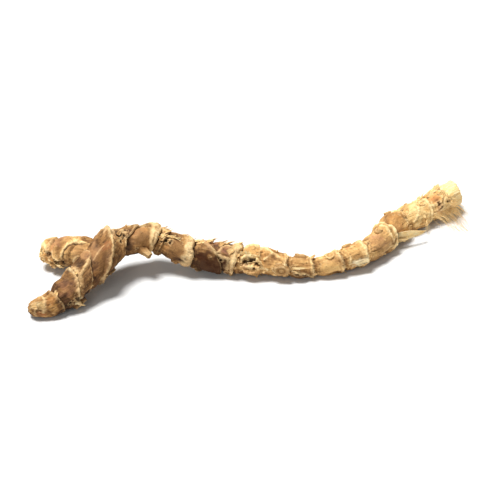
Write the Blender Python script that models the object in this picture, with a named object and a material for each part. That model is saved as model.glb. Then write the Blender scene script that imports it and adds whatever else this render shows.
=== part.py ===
"""A dried sweet flag rhizome: one long ringed stem that forks, lying on a surface.

Lengths below are in millimetres. The stem runs from its old tip at -X to its cut end at +X, and each
stretch between two leaf-scar rings is narrow at its start, swells like a barrel and ends in a raised lip.
"""
import math
import random

import bmesh
import bpy
import numpy as np
from mathutils import Vector, noise

MM = 0.001

# Middle of the finished root's box, in the coordinates that the stations use
BOX_MIDDLE = (3.5, 25.07)

# Centre line of the main stem: x, y, z and radius
STEM_STATIONS = (
    (-55.6, -3.6, 2.1, 2.3),
    (-52.0, -2.8, 2.6, 2.9),
    (-48.4, -0.8, 3.8, 3.4),
    (-45.0, 2.6, 5.6, 3.7),
    (-41.8, 6.8, 7.2, 4.1),
    (-38.9, 11.1, 8.5, 4.3),
    (-36.3, 15.2, 9.3, 4.3),
    (-32.9, 17.8, 9.6, 4.0),
    (-28.6, 19.6, 9.3, 3.8),
    (-24.2, 20.1, 8.5, 3.7),
    (-20.2, 19.0, 7.3, 3.4),
    (-15.7, 17.4, 6.1, 3.4),
    (-11.0, 17.0, 5.1, 3.7),
    (-5.5, 17.0, 4.4, 3.7),
    (0.0, 16.6, 4.0, 3.6),
    (4.5, 16.0, 3.8, 3.5),
    (9.3, 15.5, 3.4, 3.1),
    (14.8, 15.0, 2.6, 2.75),
    (20.3, 15.5, 2.7, 2.75),
    (25.1, 16.9, 3.2, 3.0),
    (29.7, 19.1, 3.7, 3.15),
    (34.4, 22.4, 3.8, 3.2),
    (38.6, 27.6, 3.9, 3.4),
    (42.2, 33.6, 3.8, 3.6),
    (46.6, 38.8, 3.5, 3.6),
    (51.8, 43.1, 3.5, 3.5),
    (57.0, 47.7, 4.2, 4.1),
    (62.0, 51.2, 5.0, 4.4),
)

# Leaf-scar rings of the main stem: distance from the old tip, how far the leading side is ahead of the
# middle, which side leads (degrees, 0 up, 90 towards -Y), rise of the lip and swell of the stretch before it
STEM_RINGS = (
    (7.0, 0.4, 90, 0.20, 0.03),
    (12.9, 2.4, -40, 0.45, 0.04),
    (18.6, 3.6, -45, 0.20, 0.03),
    (25.0, 5.6, -35, 0.60, 0.05),
    (33.6, 3.6, -35, 0.30, 0.05),
    (41.9, 0.9, 10, 0.45, 0.10),
    (44.4, 0.6, 0, 0.20, 0.00),
    (52.6, 0.9, 80, 0.45, 0.10),
    (59.7, 1.7, 145, 0.25, 0.03),
    (65.4, 1.1, -35, 0.45, 0.03),
    (71.6, 0.5, 100, 0.25, 0.03),
    (79.2, 0.6, 145, 0.30, 0.04),
    (85.9, 0.4, 60, 0.30, 0.04),
    (94.1, 0.2, 145, 0.35, 0.05),
    (100.9, 0.3, 0, 0.40, 0.05),
    (112.0, 0.9, 30, 0.55, 0.04),
    (120.6, 0.8, -30, 0.30, 0.09),
    (131.2, 1.0, 10, 0.45, 0.07),
    (138.0, 0.5, 30, 0.25, 0.03),
)
# The cut at the far end slants, so that it faces a little up and towards -Y
STEM_CUT = (2.4, 235)

# The side arm, from its ragged tip to inside the main stem, and its rings
ARM_STATIONS = (
    (-54.8, 22.4, 3.0, 3.2),
    (-51.4, 20.0, 4.8, 3.6),
    (-46.5, 17.0, 6.6, 3.6),
    (-41.8, 14.2, 8.2, 3.6),
    (-38.3, 13.2, 8.8, 2.9),
)
ARM_RINGS = (
    (4.6, 0.6, 120, 0.25, 0.02),
    (12.1, 3.6, -58, 0.60, 0.02),
)
ARM_CUT = (0.0, 0)

# Swellings of the limb itself: distance along, turn, half length, half width and height
STEM_BUMPS = (
    (1.2, 60, 1.4, 1.6, 0.35),
    (4.8, 110, 1.6, 1.4, 0.40),
    (10.6, 130, 1.6, 1.6, 0.60),
    (30.4, -14, 1.6, 3.0, 0.55),
    (36.8, 24, 2.6, 2.4, 0.30),
    (50.0, -34, 1.8, 1.6, 0.35),
    (58.6, -30, 2.6, 1.8, 0.40),
    (61.6, 30, 1.8, 1.6, 0.30),
    (70.2, -24, 2.8, 2.6, 0.75),
    (69.6, 100, 2.4, 1.8, 0.35),
    (77.8, 82, 2.4, 2.0, 0.40),
    (99.2, 92, 2.6, 1.6, 0.40),
    (117.4, -16, 3.0, 3.2, 0.55),
    (126.0, 10, 3.2, 3.0, 0.30),
    (134.8, 30, 2.4, 3.0, 0.25),
)
ARM_BUMPS = (
    (1.4, -10, 1.8, 2.4, 0.45),
    (3.6, 90, 1.2, 1.4, 0.45),
    (5.8, 130, 1.4, 1.4, 0.40),
    (2.2, 160, 1.4, 1.6, 0.50),
    (10.6, -40, 2.0, 2.4, 0.30),
)
# Radius on which the width of a swelling is measured, and how flat its top is
BUMP_RADIUS = 3.6
BUMP_POWER = 2.5

# One stretch between two rings, as shares of its length and of the radius
NECK_DEPTH = 0.11
NECK_SHARE = 0.34
LIP_START = 0.66
LIP_FULL = 0.86
LIP_EDGE = 0.94
ROWS_IN_STRETCH = (0.0, 0.12, 0.34, 0.60, 0.80, 0.94)
STEM_COLUMNS = 24
ARM_COLUMNS = 20

# Irregular shape of the skin: out-of-round share, and the height and size of the lumps
OUT_OF_ROUND = 0.05
LUMP_HEIGHT = 0.34
LUMP_SIZE = 4.0
RAGGED_LIP = 0.35
# Where each limb starts in the noise, so that the two differ
STEM_PHASE = 0.0
ARM_PHASE = 11.0

# Cut or torn ends, as distance past the last row and share of the radius
OLD_TIP = ((-0.5, 0.84), (-0.9, 0.52))
CUT_END = ((0.25, 0.90), (0.15, 0.55))
TORN_TIP = ((-0.25, 0.86), (-0.1, 0.50))

# Root stubs and scars in view: distance along, turn, radius, height and lean along the stem
STEM_STUBS = (
    (11.4, 136, 1.1, 0.8, 0.0),
    (20.8, 126, 0.8, 0.6, 0.0),
    (37.4, 140, 1.0, 3.0, 1.1),
    (77.8, 82, 1.5, 0.45, 0.0),
    (80.6, 60, 0.7, 0.35, 0.0),
    (82.8, -44, 1.4, 1.1, 0.2),
    (91.0, 8, 1.1, 0.45, 0.0),
    (97.4, -28, 1.0, 0.5, 0.1),
    (108.4, -6, 1.0, 0.5, 0.2),
    (118.2, -38, 0.9, 0.5, 0.2),
    (120.2, 24, 0.6, 0.35, 0.0),
    (119.0, 70, 0.55, 0.3, 0.0),
    (129.4, 14, 0.8, 0.4, 0.0),
)
ARM_STUBS = (
    (2.4, 92, 0.9, 0.4, 0.0),
    (4.6, 124, 0.8, 0.5, 0.0),
)
# Root scars on the sides that face down and away, drawn by a seeded rule: one or two a stretch
UNDERSIDE_SEED = 7
UNDERSIDE_TURNS = (120, 250)
UNDERSIDE_RADIUS = (0.7, 1.1)
UNDERSIDE_HEIGHT = (0.35, 0.8)
UNDERSIDE_CLEAR = 0.5
STUB_SIDES = 8
STUB_SUNK = 0.9
STUB_FLARE = 1.18
STUB_SHOULDER = 0.6
STUB_RIM_SHARE = 0.86
STUB_DISH_SHARE = 0.42
STUB_DISH_DEPTH = 0.28
STUB_DISH_FULL = 0.9

# Dry leaf-base remains: distance along, turn, length, width, lift and bend in degrees
SCALES = (
    (113.2, 96, 9.8, 3.4, 26, 8),
    (121.3, -38, 5.0, 2.8, 5, 12),
    (67.2, 36, 3.2, 2.8, 14, 18),
    (79.6, 80, 6.4, 1.4, 8, 6),
    (43.0, 14, 3.2, 1.9, 14, 12),
    (47.8, -36, 2.4, 1.8, 30, 4),
    (52.2, -26, 2.8, 2.6, 18, 12),
    (55.4, -14, 3.0, 2.4, 11, 14),
    (59.6, -6, 2.8, 2.2, 13, 16),
    (61.6, -30, 2.6, 2.0, 22, 14),
)
SCALE_THICKNESS = 0.75
SCALE_STEPS = 4
SCALE_SUNK = 1.1
SCALE_NARROWS = 0.62
SCALE_TOP_SHARE = 0.6
SCALE_THINS = 0.15

LINE_STEP = 0.2
BARK_COLOUR = (0.42, 0.27, 0.15, 1.0)
BARK_ROUGHNESS = 0.8


def smooth_step(value):
    """0 below 0, 1 above 1, and an S-curve between them."""
    value = np.clip(value, 0.0, 1.0)
    return value * value * (3.0 - 2.0 * value)


class Limb:
    """A stem or arm: a smooth centre line with rings along it."""

    def __init__(self, stations, rings, cut, bumps, phase):
        points = np.array(stations)
        gaps = np.linalg.norm(np.diff(points[:, :3], axis=0), axis=1)
        along = np.concatenate(([0.0], np.cumsum(gaps)))
        slopes = np.gradient(points, along, axis=0)
        places = np.arange(0.0, along[-1], LINE_STEP)
        first = np.clip(np.searchsorted(along, places, side="right") - 1, 0, len(gaps) - 1)
        gap = gaps[first][:, None]
        t = (places - along[first])[:, None] / gap
        self.line = (
            (2 * t**3 - 3 * t**2 + 1) * points[first]
            + (t**3 - 2 * t**2 + t) * gap * slopes[first]
            + (3 * t**2 - 2 * t**3) * points[first + 1]
            + (t**3 - t**2) * gap * slopes[first + 1]
        )
        steps = np.linalg.norm(np.diff(self.line[:, :3], axis=0), axis=1)
        self.along = np.concatenate(([0.0], np.cumsum(steps)))
        self.length = self.along[-1]
        self.forward = np.gradient(self.line[:, :3], self.along, axis=0)
        self.rings = ((0.0, 0.0, 0, 0.0, 0.0),) + tuple(rings) + ((self.length, *cut, 0.0, 0.0),)
        self.bumps = bumps
        self.phase = phase

    def frame(self, s):
        """Centre, radius and the forward, up and side directions at distance s, which may be an array."""
        inside = np.clip(s, 0.0, self.length)
        centre = np.stack([np.interp(inside, self.along, self.line[:, k]) for k in range(3)], axis=-1)
        radius = np.interp(inside, self.along, self.line[:, 3])
        forward = np.stack([np.interp(inside, self.along, self.forward[:, k]) for k in range(3)], axis=-1)
        forward /= np.linalg.norm(forward, axis=-1, keepdims=True)
        centre = centre + forward * (s - inside)[..., None]
        side = np.cross(forward, (0.0, 0.0, 1.0))
        side /= np.linalg.norm(side, axis=-1, keepdims=True)
        up = np.cross(side, forward)
        return centre, radius, forward, up, side

    def lumps(self, s, turn):
        """Slow unevenness of the skin at distance s and angle turn, in millimetres."""
        value = [
            noise.noise(Vector((a / LUMP_SIZE + self.phase, math.cos(b) * 0.9, math.sin(b) * 0.9)))
            for a, b in zip(s, turn)
        ]
        return LUMP_HEIGHT * np.array(value)

    def ring_line(self, number, turn):
        """Distance along the limb of a ring's edge, for each angle in turn."""
        place, lean, leading = self.rings[number][:3]
        ragged = [
            noise.noise(Vector((number * 5.3 + self.phase, math.cos(a) * 1.6, math.sin(a) * 1.6))) for a in turn
        ]
        edge = 0.0 if self.rings[number][3] == 0.0 else RAGGED_LIP
        return place + lean * np.cos(turn - math.radians(leading)) + edge * np.array(ragged)

    def surface(self, s, turn, share):
        """Points of the skin at distance s and angle turn, pushed out to a share of the radius."""
        centre, radius, _, up, side = self.frame(s)
        oval = 1.0 + OUT_OF_ROUND * np.cos(2.0 * turn + 0.12 * s + self.phase)
        reach = radius * oval * share + self.lumps(s, turn)
        for place, where, half_long, half_wide, height in self.bumps:
            round_limb = np.angle(np.exp(1j * (turn - math.radians(where)))) * BUMP_RADIUS
            gap = np.hypot((s - place) / half_long, round_limb / half_wide)
            reach = reach + height * np.exp(-(gap**BUMP_POWER))
        points = centre + reach[:, None] * (np.cos(turn)[:, None] * up + np.sin(turn)[:, None] * side)
        points[:, 2] = np.maximum(points[:, 2], 0.0)
        return points

    def skin_rings(self, columns, start, end):
        """Rings of points over the whole skin, with the end rows that start and end give."""
        turn = np.linspace(0.0, 2.0 * math.pi, columns, endpoint=False)
        neck = 1.0 - NECK_DEPTH
        rings = [self.surface(self.ring_line(0, turn) + d, turn, share * neck) for d, share in reversed(start)]
        for number in range(len(self.rings) - 1):
            low = self.ring_line(number, turn)
            high = self.ring_line(number + 1, turn)
            lip, swell = self.rings[number + 1][3:]
            for t in ROWS_IN_STRETCH:
                s = low + (high - low) * t
                rings.append(self.surface(s, turn, stretch_share(t, lip, swell, self.frame(s)[1])))
        for distance, share in end:
            rings.append(self.surface(self.ring_line(-1, turn) + distance, turn, share))
        return rings

    def on_skin(self, s, turn):
        """A point of the skin, with its outward and forward directions, at distance s and turn in degrees."""
        s, turn = np.array([float(s)]), np.radians([float(turn)])
        edges = [self.ring_line(number, turn)[0] for number in range(len(self.rings))]
        number = min(max(0, sum(s[0] >= edge for edge in edges) - 1), len(edges) - 2)
        t = min(max(0.0, (s[0] - edges[number]) / (edges[number + 1] - edges[number])), 1.0)
        _, radius, forward, up, side = self.frame(s)
        share = stretch_share(t, *self.rings[number + 1][3:], radius)
        outward = np.cos(turn)[0] * up[0] + np.sin(turn)[0] * side[0]
        return self.surface(s, turn, share)[0], outward, forward[0]


def stretch_share(t, lip, swell, radius):
    """Share of the radius at place t, 0 to 1, between two rings: neck, barrel, then a lip of that rise."""
    neck = -NECK_DEPTH * (1.0 - smooth_step(t / NECK_SHARE))
    barrel = swell * math.sin(math.pi * min(t / LIP_EDGE, 1.0))
    rise = smooth_step((t - LIP_START) / (LIP_FULL - LIP_START))
    fall = 1.0 - smooth_step((t - LIP_EDGE) / (1.0 - LIP_EDGE))
    return 1.0 + neck * fall + barrel + lip * rise * fall / radius - NECK_DEPTH * (1.0 - fall)


def solid_from_rings(name, rings):
    """One closed solid through a stack of rings, each end closed by a fan to its middle."""
    bm = bmesh.new()
    rows = [[bm.verts.new(Vector(point) * MM) for point in ring] for ring in rings]
    count = len(rows[0])
    for low, high in zip(rows, rows[1:]):
        for k in range(count):
            j = (k + 1) % count
            bm.faces.new((low[k], low[j], high[j], high[k]))
    for row in (rows[0], rows[-1]):
        middle = bm.verts.new(sum((v.co for v in row), Vector()) / count)
        for k in range(count):
            bm.faces.new((row[k], row[(k + 1) % count], middle))
    bmesh.ops.recalc_face_normals(bm, faces=bm.faces)
    mesh = bpy.data.meshes.new(name)
    bm.to_mesh(mesh)
    bm.free()
    piece = bpy.data.objects.new(name, mesh)
    bpy.context.collection.objects.link(piece)
    return piece


def root_stub(name, limb, place):
    """A short root stub or scar with a raised rim round a shallow dish."""
    s, turn, radius, height, lean = place
    foot, outward, forward = limb.on_skin(s, turn)
    axis = outward + lean * forward
    axis /= np.linalg.norm(axis)
    across = np.cross(axis, forward)
    across /= np.linalg.norm(across)
    other = np.cross(across, axis)
    profile = (
        (-STUB_SUNK, radius * STUB_FLARE),
        (0.0, radius * STUB_FLARE),
        (height * STUB_SHOULDER, radius),
        (height, radius * STUB_RIM_SHARE),
        (height - STUB_DISH_DEPTH * min(height, STUB_DISH_FULL), radius * STUB_DISH_SHARE),
    )
    rings = []
    for distance, wide in profile:
        ring = []
        for k in range(STUB_SIDES):
            angle = 2.0 * math.pi * k / STUB_SIDES
            ring.append(foot + axis * distance + wide * (math.cos(angle) * across + math.sin(angle) * other))
        rings.append(ring)
    return solid_from_rings(name, rings)


def leaf_scale(name, limb, place):
    """A dry leaf-base remnant: a thin pointed blade that lifts off the skin and bends along its length."""
    s, turn, length, width, lift, bend = place
    foot, outward, forward = limb.on_skin(s, turn)
    across = np.cross(forward, outward)
    point = foot - outward * SCALE_SUNK * 0.5 - forward * SCALE_SUNK
    rings = []
    for k in range(SCALE_STEPS + 1):
        share = k / SCALE_STEPS
        angle = math.radians(lift + bend * share)
        along = math.cos(angle) * forward + math.sin(angle) * outward
        over = math.cos(angle) * outward - math.sin(angle) * forward
        half = 0.5 * width * (1.0 - SCALE_NARROWS * share**2)
        thick = 0.5 * SCALE_THICKNESS * (1.0 - SCALE_THINS * share)
        top = half * SCALE_TOP_SHARE
        corners = ((-half, -thick), (half, -thick), (top, thick), (-top, thick))
        rings.append([point + a * across + b * over for a, b in corners])
        point = point + along * (length + SCALE_SUNK) / SCALE_STEPS
    return solid_from_rings(name, rings)


def underside_stubs(limb, rng):
    """Places of the root scars that point down and away, left out where they would reach the ground."""
    places = []
    for low, high in zip(limb.rings, limb.rings[1:]):
        for _ in range(rng.choice((1, 2))):
            s = low[0] + (high[0] - low[0]) * rng.uniform(0.2, 0.75)
            turn = rng.uniform(*UNDERSIDE_TURNS)
            radius = rng.uniform(*UNDERSIDE_RADIUS)
            height = rng.uniform(*UNDERSIDE_HEIGHT)
            centre, limb_radius, _, up, side = limb.frame(np.array([s]))
            outward = math.cos(math.radians(turn)) * up[0] + math.sin(math.radians(turn)) * side[0]
            tip = centre[0][2] + outward[2] * (limb_radius[0] + height)
            lowest = tip - radius * math.sqrt(max(0.0, 1.0 - outward[2] ** 2))
            if lowest > UNDERSIDE_CLEAR:
                places.append((s, turn, radius, height, rng.uniform(-0.15, 0.25)))
    return places


def bark_material():
    material = bpy.data.materials.new("bark")
    material.use_nodes = True
    shader = material.node_tree.nodes["Principled BSDF"]
    shader.inputs["Base Color"].default_value = BARK_COLOUR
    shader.inputs["Roughness"].default_value = BARK_ROUGHNESS
    shader.inputs["Metallic"].default_value = 0.0
    return material


def join_all(body, extras):
    """Unites the extras with the body by one Boolean, then removes them."""
    group = bpy.data.collections.new("growths")
    bpy.context.scene.collection.children.link(group)
    for piece in extras:
        bpy.context.collection.objects.unlink(piece)
        group.objects.link(piece)
    union = body.modifiers.new("join", "BOOLEAN")
    union.operation = "UNION"
    union.operand_type = "COLLECTION"
    union.collection = group
    with bpy.context.temp_override(object=body, active_object=body):
        bpy.ops.object.modifier_apply(modifier=union.name)
    for piece in extras:
        bpy.data.objects.remove(piece, do_unlink=True)
    bpy.data.collections.remove(group)


def place_on_origin(body):
    """Moves the mesh so that the middle of its box stands over the origin."""
    shift = Vector((-BOX_MIDDLE[0] * MM, -BOX_MIDDLE[1] * MM, 0.0))
    for vertex in body.data.vertices:
        vertex.co += shift


def main():
    for old in list(bpy.data.objects):
        bpy.data.objects.remove(old, do_unlink=True)

    stem = Limb(STEM_STATIONS, STEM_RINGS, STEM_CUT, STEM_BUMPS, STEM_PHASE)
    arm = Limb(ARM_STATIONS, ARM_RINGS, ARM_CUT, ARM_BUMPS, ARM_PHASE)
    rhizome = solid_from_rings("rhizome", stem.skin_rings(STEM_COLUMNS, OLD_TIP, CUT_END))
    growths = [solid_from_rings("arm", arm.skin_rings(ARM_COLUMNS, TORN_TIP, ()))]

    rng = random.Random(UNDERSIDE_SEED)
    for limb, places in ((stem, STEM_STUBS), (arm, ARM_STUBS)):
        for place in tuple(places) + tuple(underside_stubs(limb, rng)):
            growths.append(root_stub("stub", limb, place))
    for place in SCALES:
        growths.append(leaf_scale("scale", stem, place))

    join_all(rhizome, growths)
    place_on_origin(rhizome)
    rhizome.data.materials.append(bark_material())
    rhizome.data.shade_smooth()
    rhizome.data.set_sharp_from_angle(angle=math.radians(50))


main()
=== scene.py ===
# A dried sweet flag rhizome: a long forked stem with ringed leaf scars, lying on a pale floor.
# Sizes are in millimetres, and a finished mesh is brought to metres.
import math
import random

import bpy
import numpy as np
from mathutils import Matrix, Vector, noise


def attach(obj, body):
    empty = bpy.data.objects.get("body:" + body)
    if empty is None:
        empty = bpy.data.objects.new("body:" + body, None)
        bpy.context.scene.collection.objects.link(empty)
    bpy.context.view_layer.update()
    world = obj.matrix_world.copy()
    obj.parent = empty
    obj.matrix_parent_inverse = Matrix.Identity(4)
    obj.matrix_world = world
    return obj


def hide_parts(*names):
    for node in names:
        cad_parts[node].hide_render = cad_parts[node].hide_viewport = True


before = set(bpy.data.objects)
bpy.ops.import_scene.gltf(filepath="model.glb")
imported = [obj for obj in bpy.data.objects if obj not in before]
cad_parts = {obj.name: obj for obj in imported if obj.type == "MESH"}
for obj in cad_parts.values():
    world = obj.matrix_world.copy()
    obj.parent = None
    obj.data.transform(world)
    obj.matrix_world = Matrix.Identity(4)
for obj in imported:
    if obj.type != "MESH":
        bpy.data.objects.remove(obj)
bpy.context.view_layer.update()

mm = 0.001
tau = 2 * math.pi
boxMiddle = (3.5, 25.07)  # middle of the root's box, in the stations' coordinates

# Shape of one stretch between two rings, as in the solid, and the slow unevenness of the whole skin
stretch = {"neckDepth": 0.11, "neckShare": 0.34, "lipStart": 0.66, "lipFull": 0.86, "lipEdge": 0.94}
uneven = {"outOfRound": 0.05, "lumpHeight": 0.34, "lumpSize": 4, "raggedRing": 0.35, "fineRing": 0.14}

# Fine relief of the dried skin: height, size and how many times longer it is than wide
relief = {
    "hollow": (0.26, 2.3, 1.5),
    "pucker": (0.15, 1.1, 1.4),
    "streak": (0.14, 0.6, 8),
    "hairline": (0.084, 0.28, 10),
    "wrinkle": (0.11, 2.6, 0.16),
    "grain": (0.055, 0.24, 1.2),
    "flake": (0.24, 0.8, 0.7),
}
# Patterns that break up marks, masks and colour: size, how many times longer than wide, and seed
patterns = {
    "wobble": (0.7, 1, 40),
    "jagged": (0.33, 1, 45),
    "stainEdge": (1.3, 1.2, 60),
    "streaked": (3.2, 1.4, 90),
    "wrinkled": (2.4, 1.6, 120),
    "ring": (1.1, 0.6, 150),
    "fold": (2, 0.7, 170),
    "peel": (1.6, 0.5, 180),
    "finePeel": (0.6, 0.5, 200),
    "capGrain": (0.4, 1, 220),
    "capLump": (1.2, 1, 240),
    "tone": (3.4, 1.3, 260),
    "fineTone": (1, 2.2, 280),
    "longCrease": (1.7, 2.6, 300),
    "longCreaseMask": (2.6, 1, 310),
    "wideCrease": (1.7, 0.5, 320),
    "wideCreaseMask": (2.6, 1, 330),
}
crackDepth = 0.42
crackWidth = 0.2
lipOverhang = 0.45
overhangAt = (0.955, 0.035)  # where on a stretch its lip leans forward, and over how much of it
foldGap = 0.85  # spacing of the fine folds that run beside a ring
foldReach = 1.7
creaseDepth = 0.16  # thin creases that wander over the skin, darkened with painted shade
creaseWidth = 0.03
pithSunk = 0.26  # how far the bare pith lies below the skin
tornPith = 0.85  # how bare the pith is on the arm's torn tip
tornReach = 1.5
endRough = 0.55  # how uneven the face of an end is
reliefPaintedLight = 0.95  # how much paler a crest of the skin is, a painted highlight, and how much darker a hollow is, painted shade
toneSpread = 0.1
fineToneSpread = 0.12
# painted shade: how much darker the tone is on the underside of a limb
paintedUndersideShade = 0.26
skinRadius = 3.6  # one radius for all noise and marks, so that a pattern isn't stretched
mergeGap = 0.002
aboveFloor = 0.02  # least height above the floor of all that is added to the skin
smoothAngle = 50
highLip = 0.25  # a ring whose lip rises more than this carries more shreds

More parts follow.
